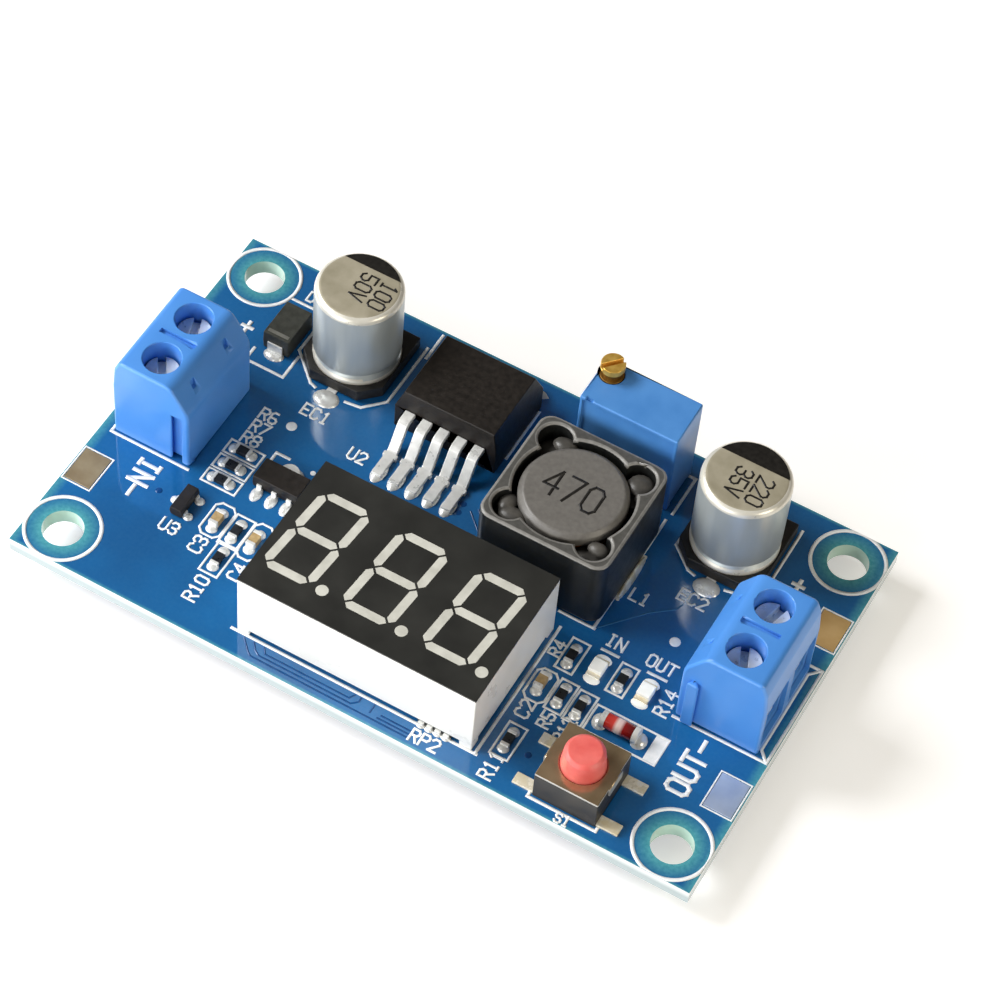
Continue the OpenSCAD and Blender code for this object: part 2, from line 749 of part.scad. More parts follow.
// A flat foot with a short riser against the body's side, drawn for the side at +Y
module bent_foot(width, side_y, reach, rise) {
    t = 0.15;
    translate([-width / 2, 0, 0]) rotate([90, 0, 90]) linear_extrude(width)
        polygon([[side_y, 0], [side_y + reach, 0], [side_y + reach, t], [side_y + t, t],
                 [side_y + t, rise], [side_y, rise]]);
}

diode_size = [2.6, 4.3, 2.2];
module input_diode_body() {
    color("#26241f") on_board(input_diode_at) moulded_block(diode_size[0], diode_size[1], diode_size[2], 0.1);
}
module input_diode_leads() {
    color("silver") on_board(input_diode_at) for (turn = [0, 180]) rotate(turn)
        bent_foot(1.5, diode_size[1] / 2, 0.5, 1.3);
}

small_regulator_size = [4.5, 2.5, 1.5];
module small_regulator_body() {
    s = small_regulator_size;
    color("#2b2926") on_board(small_regulator_at) moulded_block(s[0], s[1], s[2], 0.1);
}
// Three legs in front and a half-round tab behind
module small_regulator_leads() {
    y = small_regulator_size[1] / 2;
    color("silver") on_board(small_regulator_at) {
        for (x = [-1.5, 0, 1.5]) translate([x, 0, 0]) rotate(180) bent_foot(0.45, y, 1.1, 0.8);
        translate([0, y, 0]) difference() {
            cylinder(r = 0.9, h = 0.8);
            translate([0, -past, 0]) block([2, 2 * past, 2 * past]);
        }
    }
}

small_transistor_size = [2.9, 1.3, 1.1];
module small_transistor_body() {
    s = small_transistor_size;
    color("#2b2926") on_board(small_transistor_at, 90) moulded_block(s[0], s[1], s[2], 0.1);
}
module small_transistor_leads() {
    y = small_transistor_size[1] / 2;
    color("silver") on_board(small_transistor_at, 90) {
        bent_foot(0.45, y, 0.55, 0.6);
        for (x = [-0.95, 0.95]) translate([x, 0, 0]) rotate(180) bent_foot(0.45, y, 0.55, 0.6);
    }
}

resistor_size = [1.6, 0.8, 0.45];
chip_capacitor_size = [1.6, 0.85, 0.8];
led_size = [2, 1.25, 0.8];

resistor_end = 0.3;
chip_capacitor_end = 0.35;
led_end = [0.35, 0.4];
plating = 0.03;

// The body between a chip's two ends, and the ends
module chip_bodies(places, turn, size, end) {
    for (p = places) on_board(p, turn) block([size[0] - 2 * end, size[1], size[2] - plating]);
}
module chip_ends(places, turn, size, end, h) {
    for (p = places) on_board(p, turn) for (side = [-1, 1])
        translate([side * (size[0] - end) / 2, 0, 0]) block([end, size[1], h]);
}

module chip_resistor_bodies() {
    color("#3a3834") {
        chip_bodies(resistors_along_x, 0, resistor_size, resistor_end);
        chip_bodies(resistors_along_y, 90, resistor_size, resistor_end);
    }
}
module chip_resistor_ends() {
    color("silver") {
        chip_ends(resistors_along_x, 0, resistor_size, resistor_end, resistor_size[2]);
        chip_ends(resistors_along_y, 90, resistor_size, resistor_end, resistor_size[2]);
    }
}
module chip_capacitor_bodies() {
    color("tan") chip_bodies(chip_capacitor_places, 90, chip_capacitor_size, chip_capacitor_end);
}
module chip_capacitor_ends() {
    s = chip_capacitor_size;
    color("silver") chip_ends(chip_capacitor_places, 90, s, chip_capacitor_end, s[2]);
}
module indicator_led_lenses() { color("ivory") chip_bodies(led_places, 90, led_size, led_end[0]); }
module indicator_led_ends() { color("khaki") chip_ends(led_places, 90, led_size, led_end[0], led_end[1]); }

glass_diode_d = 1.5;
glass_diode_l = 3.5;
glass_cap = 0.45;
module along_x(from, d, length) {
    translate([from, 0, d / 2]) rotate([0, 90, 0]) cylinder(d = d, h = length, $fn = 32);
}
module glass_diode_tube() {
    length = glass_diode_l - 2 * glass_cap;
    lift = 0.05;
    color("firebrick") on_board(glass_diode_at) translate([0, 0, lift])
        along_x(-length / 2, glass_diode_d - 2 * lift, length);
}
module glass_diode_caps() {
    color("silver") on_board(glass_diode_at) for (x = [-glass_diode_l / 2, glass_diode_l / 2 - glass_cap])
        along_x(x, glass_diode_d, glass_cap);
}

// Four resistors in one chip, half under the display's front edge
array_size = [3.2, 1.6, 0.5];
array_end = [0.5, 0.3, 0.45];
array_pitch = 0.8;
module resistor_array_body() {
    color("#3a3834") on_board(resistor_array_at)
        block([array_size[0], array_size[1] - 2 * array_end[1], array_size[2]]);
}
module resistor_array_ends() {
    color("silver") on_board(resistor_array_at) for (i = [-1.5:1.5]) for (side = [-1, 1])
        translate([i * array_pitch, side * (array_size[1] - array_end[1]) / 2, 0]) block(array_end);
}

circuit_board();
edge_pads();
pin_solder();
input_terminal();
input_minus_cage();
input_plus_cage();
input_minus_clamp();
input_plus_clamp();
input_minus_screw();
input_plus_screw();
output_terminal();
output_minus_cage();
output_plus_cage();
output_minus_clamp();
output_plus_clamp();
output_minus_screw();
output_plus_screw();
input_capacitor_can();
input_capacitor_base();
input_capacitor_leads();
output_capacitor_can();
output_capacitor_base();
output_capacitor_leads();
regulator_body();
regulator_tab();
regulator_leads();
inductor_shell();
inductor_drum();
inductor_winding();
inductor_terminals();
trimmer_housing();
trimmer_screw();
trimmer_pins();
display_housing();
display_face();
display_digit_1();
display_digit_2();
display_digit_3();
display_pins();
button_base();
button_cover();
button_plunger();
button_dome();
button_leads();
input_diode_body();
input_diode_leads();
small_regulator_body();
small_regulator_leads();
small_transistor_body();
small_transistor_leads();
chip_resistor_bodies();
chip_resistor_ends();
chip_capacitor_bodies();
chip_capacitor_ends();
indicator_led_lenses();
indicator_led_ends();
glass_diode_tube();
glass_diode_caps();
resistor_array_body();
resistor_array_ends();
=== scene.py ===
# %% [markdown]
# # A small voltage module, dressed for its picture
# The object is a blue circuit board, 66 mm long, that lowers a voltage and shows it on three digits.
# Its solids come from a parametric source and are loaded here as a fixed frame. Everything below either
# gives one of those solids its finish, rounds its edges, or adds what is too thin to be a solid:
# printed ink, solder, copper under the lacquer.

# %% Load the frame
import json
import math

import bmesh
import bpy
from mathutils import Matrix, Vector

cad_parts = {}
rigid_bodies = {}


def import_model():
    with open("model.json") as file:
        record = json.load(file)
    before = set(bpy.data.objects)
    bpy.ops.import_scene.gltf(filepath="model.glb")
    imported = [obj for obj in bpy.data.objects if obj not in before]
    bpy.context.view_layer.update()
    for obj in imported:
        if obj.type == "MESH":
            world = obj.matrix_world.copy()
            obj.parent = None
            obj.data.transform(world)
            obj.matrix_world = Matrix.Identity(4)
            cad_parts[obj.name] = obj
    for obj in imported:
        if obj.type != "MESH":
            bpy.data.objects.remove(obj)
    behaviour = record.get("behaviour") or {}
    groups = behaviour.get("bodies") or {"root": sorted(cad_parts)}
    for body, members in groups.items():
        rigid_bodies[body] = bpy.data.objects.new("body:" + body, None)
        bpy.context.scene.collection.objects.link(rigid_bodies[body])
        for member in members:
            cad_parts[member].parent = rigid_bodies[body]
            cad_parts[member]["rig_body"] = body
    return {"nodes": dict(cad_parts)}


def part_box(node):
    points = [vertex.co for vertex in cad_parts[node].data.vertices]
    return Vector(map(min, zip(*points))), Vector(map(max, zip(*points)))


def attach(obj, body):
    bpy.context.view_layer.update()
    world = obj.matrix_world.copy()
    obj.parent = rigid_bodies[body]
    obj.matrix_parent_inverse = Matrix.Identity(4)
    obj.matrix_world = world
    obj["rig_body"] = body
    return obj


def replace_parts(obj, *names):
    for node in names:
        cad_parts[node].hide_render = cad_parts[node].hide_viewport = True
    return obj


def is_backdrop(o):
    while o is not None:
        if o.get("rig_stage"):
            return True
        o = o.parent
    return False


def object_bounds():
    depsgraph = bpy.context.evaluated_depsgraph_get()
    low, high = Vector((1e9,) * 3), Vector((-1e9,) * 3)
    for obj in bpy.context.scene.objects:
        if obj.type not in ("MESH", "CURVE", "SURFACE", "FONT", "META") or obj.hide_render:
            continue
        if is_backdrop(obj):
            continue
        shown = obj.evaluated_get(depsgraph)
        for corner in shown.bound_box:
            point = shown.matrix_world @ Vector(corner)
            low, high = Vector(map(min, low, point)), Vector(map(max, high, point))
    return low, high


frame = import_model()
cad_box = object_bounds()

# %% [markdown]
# ## The two units
# Blender counts in metres, and a circuit board is drawn in millimetres. One factor keeps the numbers
# below readable. The board's upper face is asked from the frame, because everything printed lies on it.

# %% Millimetres and the board's faces
MM = 0.001


def low(node):
    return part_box(node)[0]


def high(node):
    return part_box(node)[1]


def middle(node):
    return (low(node) + high(node)) / 2


BOARD_TOP = high("circuit_board").z
HALF_L = high("circuit_board").x
HALF_W = high("circuit_board").y
HOLE_INSET = 3.3 * MM
HOLE_X, HOLE_Y = HALF_L - HOLE_INSET, HALF_W - HOLE_INSET
print("board top at", round(BOARD_TOP / MM, 2), "mm")

# %% [markdown]
# ## The camera first
# The camera decides how every later choice is judged. It stands 30 cm away, in front and to the right,
# and looks steeply down through a long lens, which keeps the board's far edge almost as wide as its near one.
# Its three axes are written as directions, because that says exactly how it is turned.

# %% Camera
def placed(name, data):
    """An object with this camera, mesh or lamp, in the scene."""
    made = bpy.data.objects.new(name, data)
    bpy.context.scene.collection.objects.link(made)
    return made


right = Vector((0.868607, 0.491758, 0.060795))
up = Vector((-0.432263, 0.692046, 0.578118))
back = Vector((0.242222, -0.528437, 0.813685))
place = Vector((72.3786, -150.1398, 244.6253)) * MM
camera = placed("camera", bpy.data.cameras.new("camera"))
turned = Matrix((right, up, back)).transposed().to_4x4()
camera.matrix_world = Matrix.Translation(place) @ turned
camera.data.sensor_width = 36
camera.data.lens = 122.09
camera.data.clip_start, camera.data.clip_end = 0.01, 10
bpy.context.scene.camera = camera
print("camera distance:", round(place.length / MM), "mm")

# %% [markdown]
# ## Finishes
# No real surface has one colour. Moulded plastic is cloudy, metal has polished and dull patches, and printed
# ink is uneven. One helper makes all of these: noise in object space wanders between two colours and two
# roughnesses, and may raise a fine relief. Object space is used because it stays on the piece when it moves.

# %% Colour and node helpers
def tint(code):
    """A paint code turned into the linear numbers that a shader wants."""
    parts = [int(code[i:i + 2], 16) / 255 for i in (1, 3, 5)]
    return [c / 12.92 if c <= 0.04045 else ((c + 0.055) / 1.055) ** 2.4 for c in parts] + [1]


def node(material, kind, **values):
    """A new node with its inputs set: a plain value is set, an output of another node is linked."""
    tree = material.node_tree
    made = tree.nodes.new(kind)
    for key, value in values.items():
        if key.startswith("in"):
            socket = made.inputs[int(key[2:])]
            if isinstance(value, bpy.types.NodeSocket):
                tree.links.new(value, socket)
            else:
                socket.default_value = value
        else:
            setattr(made, key, value)
    return made


def ramp(material, factor, stops):
    """A colour ramp: stops are (position, paint code)."""
    made = node(material, "ShaderNodeValToRGB", in0=factor)
    bar = made.color_ramp
    while len(bar.elements) < len(stops):
        bar.elements.new(0.5)
    for element, (position, code) in zip(bar.elements, stops):
        element.position, element.color = position, tint(code)
    return made.outputs[0]


FINISH = {}


def finish(name, dark, light, grain=1.0, rough=(0.4, 0.5), relief=0.0, stretch=(1, 1, 1), **shader):
    """Colour and roughness wander over `grain` millimetres, and `relief` is the bump's depth in mm."""
    m = bpy.data.materials.new(name)
    m.use_nodes = True
    shine = m.node_tree.nodes["Principled BSDF"]
    spot = node(m, "ShaderNodeTexCoord").outputs["Object"]
    scaled = node(m, "ShaderNodeMapping", in0=spot, in3=[s / (grain * MM) for s in stretch]).outputs[0]
    cloud = node(m, "ShaderNodeTexNoise", in0=scaled, in2=1.0, in3=4.0).outputs[0]
    m.node_tree.links.new(ramp(m, cloud, [(0.32, dark), (0.68, light)]), shine.inputs["Base Color"])
    gloss = node(m, "ShaderNodeMapRange", in0=cloud, in1=0.3, in2=0.7, in3=rough[0], in4=rough[1])
    m.node_tree.links.new(gloss.outputs[0], shine.inputs["Roughness"])
    if relief:
        fine = node(m, "ShaderNodeTexNoise", in0=scaled, in2=3.0, in3=3.0).outputs[0]
        bump = node(m, "ShaderNodeBump", in0=0.6, in1=relief * MM)
        m.node_tree.links.new(fine, bump.inputs["Height"])
        m.node_tree.links.new(bump.outputs[0], shine.inputs["Normal"])
    for key, value in shader.items():
        shine.inputs[key.replace("_", " ")].default_value = value
    FINISH[name] = m


# %% [markdown]
# ## One line for each finish
# Plastics are only a little cloudy and rather smooth. Moulded black parts are rougher and have a fine grain.
# Tinned and rolled metals are partly metallic, because full metal would only mirror the white room. Inks are
# matt. A painted skin could be wrapped round each piece instead, but then every piece would need a flat
# unfolding. Numbers need none, and they serve all sides alike.

# %% Plastics and ferrites
finish("blue_plastic", "#4c90e2", "#5598e8", 6.0, (0.28, 0.34), 0.0, IOR=1.58)
finish("trimmer_blue", "#4a88ce", "#5593d8", 2.5, (0.34, 0.42), 0.001)
finish("white_plastic", "#f4f4ee", "#fbfbf6", 3.0, (0.26, 0.32), 0.0)
finish("dark_face", "#262624", "#2f2f2c", 4.0, (0.32, 0.42), 0.002)
finish("segment_white", "#c3c2b8", "#d6d5cb", 1.2, (0.45, 0.6), 0.002)
finish("black_moulding", "#130e09", "#201912", 0.5, (0.42, 0.56), 0.008)
finish("ferrite", "#4c4b48", "#585754", 0.4, (0.3, 0.4), 0.004)
# painted highlight: a lighter ferrite for the shell's bevelled edges, where they catch the light
finish("ferrite_edge_highlight", "#787672", "#888682", 0.4, (0.28, 0.36), 0.002)
# painted shade: a darker copy of the ferrite for the shell's sides, which lie in shade
finish("ferrite_side_shade", "#161718", "#232422", 0.5, (0.28, 0.38), 0.004)
finish("drum_ferrite", "#696662", "#74716c", 0.4, (0.34, 0.44), 0.004)
finish("base_black", "#14120f", "#24211d", 1.0, (0.4, 0.55), 0.01)
finish("diode_grey", "#33342e", "#42433c", 0.5, (0.42, 0.56), 0.006)
finish("grey_plastic", "#23211f", "#37332f", 1.0, (0.4, 0.55), 0.008)
finish("salmon_plastic", "#e5625c", "#f27a72", 1.5, (0.35, 0.48), 0.004,
       Subsurface_Weight=0.1, Subsurface_Scale=0.001)
plastics = len(FINISH)
print("plastics and ferrites:", plastics)

# %% Metals
ALONG_THE_DRAW = (1, 1, 0.1)
finish("can_aluminium", "#bac2c2", "#ccd2d0", 2.0, (0.3, 0.38), 0.001, ALONG_THE_DRAW, Metallic=0.45)
# painted highlight: a lighter aluminium for the cans' rolled foot and shoulder
finish("can_rim_highlight", "#dedacc", "#f0ece0", 2.0, (0.26, 0.34), 0.001, Metallic=0.3)
finish("can_top", "#aaa28b", "#bdb59f", 1.5, (0.38, 0.5), 0.002, Metallic=0.3)
finish("tinned_steel", "#e6e6e2", "#fafaf6", 0.8, (0.26, 0.36), 0.002, Metallic=0.3)
finish("solder", "#e2e2de", "#fafaf6", 0.8, (0.2, 0.3), 0.0015, Metallic=0.35)
finish("pad_brown", "#a08c6e", "#b6a688", 2.2, (0.3, 0.4), 0.001, Metallic=0.5)
finish("pad_silver", "#b4c2d8", "#c8d3e4", 2.2, (0.3, 0.4), 0.001, Metallic=0.5)
finish("pad_gold", "#dcb070", "#ecc688", 2.2, (0.3, 0.4), 0.001, Metallic=0.5)
finish("pressed_steel", "#a28c6c", "#bca684", 2.0, (0.12, 0.18), 0.001, Metallic=0.7)
finish("steel_side", "#b4b4b0", "#c8c8c4", 2.0, (0.3, 0.4), 0.001, Metallic=0.4)
finish("brass", "#dcaa48", "#f2c868", 0.6, (0.28, 0.4), 0.004, Metallic=0.6)
finish("copper_wire", "#9a5a2c", "#c0743c", 0.5, (0.25, 0.35), 0.0, Metallic=1.0)
finish("gold_wire", "#f0e0b8", "#fffaec", 0.9, (0.22, 0.32), 0.002, Metallic=0.15)
# painted shade: darker brass for the trimmer screw's neck, in the shade of its head
finish("brass_neck_shade", "#6e4c1a", "#8a6426", 0.6, (0.35, 0.5), 0.004, Metallic=0.6)
metals = len(FINISH) - plastics
print("metals:", metals)

# %% Ceramic, glass, ink and glue
finish("resistor_black", "#15171a", "#26282b", 0.4, (0.25, 0.45), 0.01)
finish("tan_ceramic", "#a58a5c", "#bda274", 0.4, (0.4, 0.55), 0.01)
# painted glow: the white LEDs give off a little light of their own, though they are not lit, so they stay
# bright in shade
finish("led_white", "#f2f3ea", "#fffff8", 0.6, (0.2, 0.3), 0.003,
       Emission_Color=(1, 1, 0.95, 1), Emission_Strength=0.25)
finish("diode_glass", "#f3ece4", "#ffffff", 1.0, (0.05, 0.1), 0.0, Coat_Weight=0.8)
finish("white_ink", "#eef2f2", "#ffffff", 0.5, (0.5, 0.7), 0.002)
finish("track_blue", "#083a70", "#0b4a86", 1.0, (0.12, 0.2), 0.0)
finish("track_light", "#3a7cae", "#4486b8", 1.0, (0.12, 0.2), 0.0)
finish("band_grey", "#6c6b64", "#7a7971", 0.6, (0.4, 0.5), 0.0)
finish("black_ink", "#12100d", "#1f1c18", 0.4, (0.35, 0.5), 0.0)
finish("glue", "#45433f", "#5a5752", 0.8, (0.34, 0.42), 0.002)
print("the rest:", len(FINISH) - plastics - metals, "of", len(FINISH), "finishes")

# %% [markdown]
# ## Lacquered board
# The board is glass cloth in resin, with copper on it and a blue lacquer over both. Over copper the blue is
# deep. Along the cut edges and round the holes the copper stops short, so light enters the glass and the
# lacquer turns teal. The cut itself shows pale resin; along the board's outer edge it is painted darker
# towards the underside, as shade. One material can do all of this by asking each point how far it is from an
# edge or a hole, whether it faces up or sideways, and how high it lies.

# %% Two helpers for the board's material
board_paint = bpy.data.materials.new("blue_board")
board_paint.use_nodes = True
FINISH["blue_board"] = board_paint


def sums(kind, a, b=0.0):
    """One sum with the shader's numbers."""
    return node(board_paint, "ShaderNodeMath", operation=kind, in0=a, in1=b).outputs[0]


def blend(factor, a, b):
    """Colour a where the factor is 0 and colour b where it is 1."""
    made = node(board_paint, "ShaderNodeMix", data_type="RGBA")
    for socket, value in ((0, factor), (6, a), (7, b)):
        if isinstance(value, str):
            made.inputs[socket].default_value = tint(value)
        else:
            board_paint.node_tree.links.new(value, made.inputs[socket])
    return made.outputs[2]


def fade(value, start, end, first=0.0, last=1.0):
    """A number that goes from `first` to `last` while a measure goes from `start` to `end`."""
    made = node(board_paint, "ShaderNodeMapRange", in0=value, in1=start, in2=end, in3=first, in4=last)
    return made.outputs[0]


# %% How near each point is to an edge or a hole
TEAL_EDGE = 1.1 * MM  # width of the teal band along the short edges
LONG_EDGE_SHARE = 3.0  # the band is this much narrower along the long edges
HALO = 1.9 * MM, 3.4 * MM  # round a hole the teal is full at the first radius and gone at the second
HOLE_WALL = 2.2 * MM  # what faces sideways within this radius is the hole's wall
UPRIGHT = 0.5  # a face is a wall when the upward part of its normal is less than this
spot = node(board_paint, "ShaderNodeTexCoord").outputs["Object"]
mirrored = node(board_paint, "ShaderNodeVectorMath", operation="ABSOLUTE", in0=spot).outputs[0]
axes = node(board_paint, "ShaderNodeSeparateXYZ", in0=mirrored).outputs
to_long_edge = sums("MULTIPLY", sums("SUBTRACT", HALF_W, axes[1]), LONG_EDGE_SHARE)
edge_gap = sums("MINIMUM", sums("SUBTRACT", HALF_L, axes[0]), to_long_edge)
off_hole = node(board_paint, "ShaderNodeCombineXYZ", in0=sums("SUBTRACT", axes[0], HOLE_X),
                in1=sums("SUBTRACT", axes[1], HOLE_Y)).outputs[0]
hole_gap = node(board_paint, "ShaderNodeVectorMath", operation="LENGTH", in0=off_hole).outputs[1]
bare = sums("MAXIMUM", fade(edge_gap, 0.0, TEAL_EDGE, 0.85, 0.0), fade(hole_gap, *HALO, 1.0, 0.1))
in_hole = sums("LESS_THAN", hole_gap, HOLE_WALL)
normal = node(board_paint, "ShaderNodeNewGeometry").outputs["Normal"]
facing = node(board_paint, "ShaderNodeSeparateXYZ", in0=normal).outputs[2]
sideways = sums("LESS_THAN", sums("ABSOLUTE", facing), UPRIGHT)
print("nodes that measure:", len(board_paint.node_tree.nodes))

# %% The board's colours
CUT_SHADE = 0.9 * MM, 0.3 * MM  # depths below the board's top: the outer cut is painted in shade below the first and pale above the second
weave_scale = node(board_paint, "ShaderNodeMapping", in0=spot, in3=[1 / MM] * 3).outputs[0]
cloud = node(board_paint, "ShaderNodeTexNoise", in0=weave_scale, in2=0.12, in3=4.0).outputs[0]
grain = node(board_paint, "ShaderNodeTexNoise", in0=weave_scale, in2=3.0, in3=3.0).outputs[0]
over_copper = ramp(board_paint, cloud, [(0.3, "#0a4c8c"), (0.7, "#0d60a4")])
over_glass = ramp(board_paint, grain, [(0.3, "#44949f"), (0.7, "#5aacb4")])
lacquer = blend(bare, over_copper, over_glass)
under = fade(axes[2], BOARD_TOP - CUT_SHADE[0], BOARD_TOP - CUT_SHADE[1])
# the outer cut is pale at the top and painted darker below, as shade; the holes' walls keep one colour
cut = blend(in_hole, blend(under, "#b4c4c6", "#f0f5f5"), "#bfe0d0")
coat = board_paint.node_tree.nodes["Principled BSDF"]
coat.inputs["IOR"].default_value = 1.7
ripple = node(board_paint, "ShaderNodeBump", in0=0.3, in1=0.001 * MM)
for output, socket in ((blend(sideways, lacquer, cut), coat.inputs["Base Color"]),
                       (fade(grain, 0.3, 0.7, 0.05, 0.09), coat.inputs["Roughness"]),
                       (grain, ripple.inputs["Height"]), (ripple.outputs[0], coat.inputs["Normal"])):
    board_paint.node_tree.links.new(output, socket)
print("board material nodes:", len(board_paint.node_tree.nodes))

# %% [markdown]
# ## Rounding the frame's own solids
# A moulded or pressed part never has a perfectly sharp edge. The thin bright line along a rounded edge is
# what makes it read as a real object. A copy of each solid has its triangles joined into whole faces, and
# a bevel then follows every true edge. The copy stands for the solid, which itself is never touched.

# %% From a solid to a plain copy
WELD = 2e-6  # triangles' corners closer than this, in metres, are one corner


def flat_copy(source):
    """A merged mesh of a solid, with its flat faces whole and only its real edges left."""
    bm = bmesh.new()
    bm.from_mesh(frame["nodes"][source].data)
    bmesh.ops.remove_doubles(bm, verts=bm.verts, dist=WELD)
    bmesh.ops.dissolve_limit(bm, angle_limit=math.radians(1), verts=bm.verts, edges=bm.edges)
    mesh = bpy.data.meshes.new(source)
    bm.to_mesh(mesh)
    bm.free()
    for layer in ("custom_normal", "UVMap"):
        if layer in mesh.attributes:
            mesh.attributes.remove(mesh.attributes[layer])
    mesh.materials.clear()
    return mesh


def settle(source, name, body="board"):
    """The evaluated result of an object with modifiers, as one plain object that rides on a body."""
    bpy.context.view_layer.update()
    mesh = bpy.data.meshes.new_from_object(source.evaluated_get(bpy.context.evaluated_depsgraph_get()))
    bpy.data.objects.remove(source)
    piece = placed(name, mesh)
    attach(piece, body)
    return piece


# %% Rounded copies
SHARP = math.radians(32)  # a smaller angle is part of a curve
RIM_SHARE = 0.3  # a hole's rim is rounded by this share of the width
NARROW, ROOMY = 1.6, 2.3  # faces under 1.6 widths take no rounding, and from 2.3 widths they take all of it


def share_of(edge, width, holes):
    """How much of the rounding an edge can take: less beside a narrow face, and little at a hole's rim."""
    if len(edge.link_faces) != 2 or not edge.is_convex or edge.calc_face_angle(0) < SHARP:
        return 0
    start, along = edge.verts[0].co, (edge.verts[1].co - edge.verts[0].co).normalized()
    room = min(max((v.co - start).cross(along).length for v in face.verts) for face in edge.link_faces)
    rim = any((start.xy - Vector(hole[:2])).length < hole[2] for hole in holes)
    return 0 if room < NARROW * width else RIM_SHARE if rim else min(1, room / (ROOMY * width))


ROUND = {}


def rounded(source, paint, width=0.1, steps=3, holes=()):
    """Stands for one solid, with its edges rounded by `width` millimetres."""
    mesh = flat_copy(source)
    bm = bmesh.new()
    bm.from_mesh(mesh)
    weight = bm.edges.layers.float.new("bevel_weight_edge")
    for edge in bm.edges:
        edge[weight] = share_of(edge, width * MM, holes)
        edge.smooth = edge[weight] > 0 or edge.calc_face_angle(0) < SHARP
    bm.to_mesh(mesh)
    bm.free()
    mesh.materials.append(FINISH[paint])
    mesh.shade_smooth()
    rough = placed(source + "_rough", mesh)
    bevel = rough.modifiers.new("rounding", "BEVEL")
    bevel.width, bevel.segments, bevel.use_clamp_overlap = width * MM, steps, False
    bevel.limit_method, bevel.harden_normals = "WEIGHT", True
    ROUND[source] = settle(rough, source + "_shape", frame["nodes"][source]["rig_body"])
    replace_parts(ROUND[source], source)
    return ROUND[source]


def paint_where(piece, paint, test):
    """Gives a second finish to the faces of a piece that pass a test."""
    piece.data.materials.append(FINISH[paint])
    slot = len(piece.data.materials) - 1
    for face in piece.data.polygons:
        if test(face):
            face.material_index = slot


# %% Which solids are rounded, and by how much
SIMPLE = [
    ("trimmer_housing", "trimmer_blue", 0.15), ("trimmer_screw", "brass", 0.08),
    ("display_housing", "white_plastic", 0.1), ("button_base", "grey_plastic", 0.08),
    ("button_leads", "gold_wire", 0.05),
    ("regulator_body", "black_moulding", 0.08), ("regulator_leads", "tinned_steel", 0.08),
    ("regulator_tab", "tinned_steel", 0.05),
    ("input_capacitor_base", "base_black", 0.08), ("output_capacitor_base", "base_black", 0.08),
    ("input_diode_body", "diode_grey", 0.06), ("small_regulator_body", "black_moulding", 0.05),
    ("small_transistor_body", "black_moulding", 0.05), ("chip_resistor_bodies", "resistor_black", 0.02),
    ("chip_resistor_ends", "tinned_steel", 0.04), ("chip_capacitor_bodies", "tan_ceramic", 0.04),
    ("chip_capacitor_ends", "tinned_steel", 0.05), ("indicator_led_lenses", "led_white", 0.06),
]
for source, paint, width in SIMPLE:
    rounded(source, paint, width)
WELL = 2.1 * MM  # the rims within this radius of a screw belong to its well
for end in ("input", "output"):
    screws = [middle(end + pole + "_screw") for pole in ("_minus", "_plus")]
    rounded(end + "_terminal", "blue_plastic", 0.3, 4, [(c.x, c.y, WELL) for c in screws])
    for pole in ("_minus", "_plus"):
        rounded(end + pole + "_screw", "tinned_steel", 0.07)
rounded("inductor_drum", "drum_ferrite", 0.15)
rounded("button_plunger", "salmon_plastic", 0.1)
rounded("inductor_shell", "ferrite", 0.3)
rounded("button_cover", "pressed_steel", 0.12)
rounded("edge_pads", "pad_brown", 0.04)
print("rounded pieces:", len(ROUND))

# %% [markdown]
# ## Two finishes on one piece
# Some pieces have faces that look different: the inductor's shell has a painted shade on its sides and a
# painted highlight along its bevelled edges, and the button's cover is polished on top only. Another material
# could be mixed in by a mask. Here each such face simply gets another slot, picked by where it is or by the
# way it faces.

# %% Second finishes
SIDE, FLAT = 0.3, 0.97  # the upward part of a face's normal: sides are below the first, tops above the second
NECK = 0.72 * MM  # depth of the trimmer screw's head; below it the neck is duller and painted darker, as shade under the head
# the shell's sides take the painted shade
paint_where(ROUND["inductor_shell"], "ferrite_side_shade", lambda face: face.normal.z < SIDE)
# the shell's bevelled edges take the painted highlight
paint_where(ROUND["inductor_shell"], "ferrite_edge_highlight", lambda face: SIDE <= face.normal.z < FLAT)
paint_where(ROUND["button_cover"], "steel_side", lambda face: abs(face.normal.z) < UPRIGHT)
# the neck under the screw's head takes the painted shade
paint_where(ROUND["trimmer_screw"], "brass_neck_shade", lambda face: face.center.z < high("trimmer_screw").z - NECK)
paint_where(ROUND["edge_pads"], "pad_silver", lambda face: face.center.x > 0 and face.center.y < 0)
paint_where(ROUND["edge_pads"], "pad_gold", lambda face: face.center.x > 0 and face.center.y > 0)
print("pieces with several finishes:", sum(len(piece.data.materials) > 1 for piece in ROUND.values()))

# %% [markdown]
# ## Solids that keep their shape
# Small or hidden solids need no rounding. They keep the frame's own mesh, and only their material slots
# are filled. Nothing stays in the plain colour it was loaded with.

# %% Finishes on the frame's solids
KEPT = {
    "circuit_board": "blue_board", "pin_solder": "solder",
    "input_capacitor_leads": "tinned_steel", "output_capacitor_leads": "tinned_steel",
    "inductor_terminals": "gold_wire", "trimmer_pins": "tinned_steel",
    "display_face": "dark_face", "display_digit_1": "segment_white", "display_digit_2": "segment_white",
    "display_digit_3": "segment_white", "display_pins": "tinned_steel", "button_dome": "tinned_steel",
    "input_diode_leads": "tinned_steel", "small_regulator_leads": "tinned_steel",
    "small_transistor_leads": "tinned_steel", "indicator_led_ends": "gold_wire",
    "glass_diode_tube": "diode_glass", "glass_diode_caps": "tinned_steel",
    "resistor_array_body": "resistor_black", "resistor_array_ends": "tinned_steel",
}
for pole in ("input_minus", "input_plus", "output_minus", "output_plus"):
    KEPT[pole + "_cage"] = KEPT[pole + "_clamp"] = "tinned_steel"
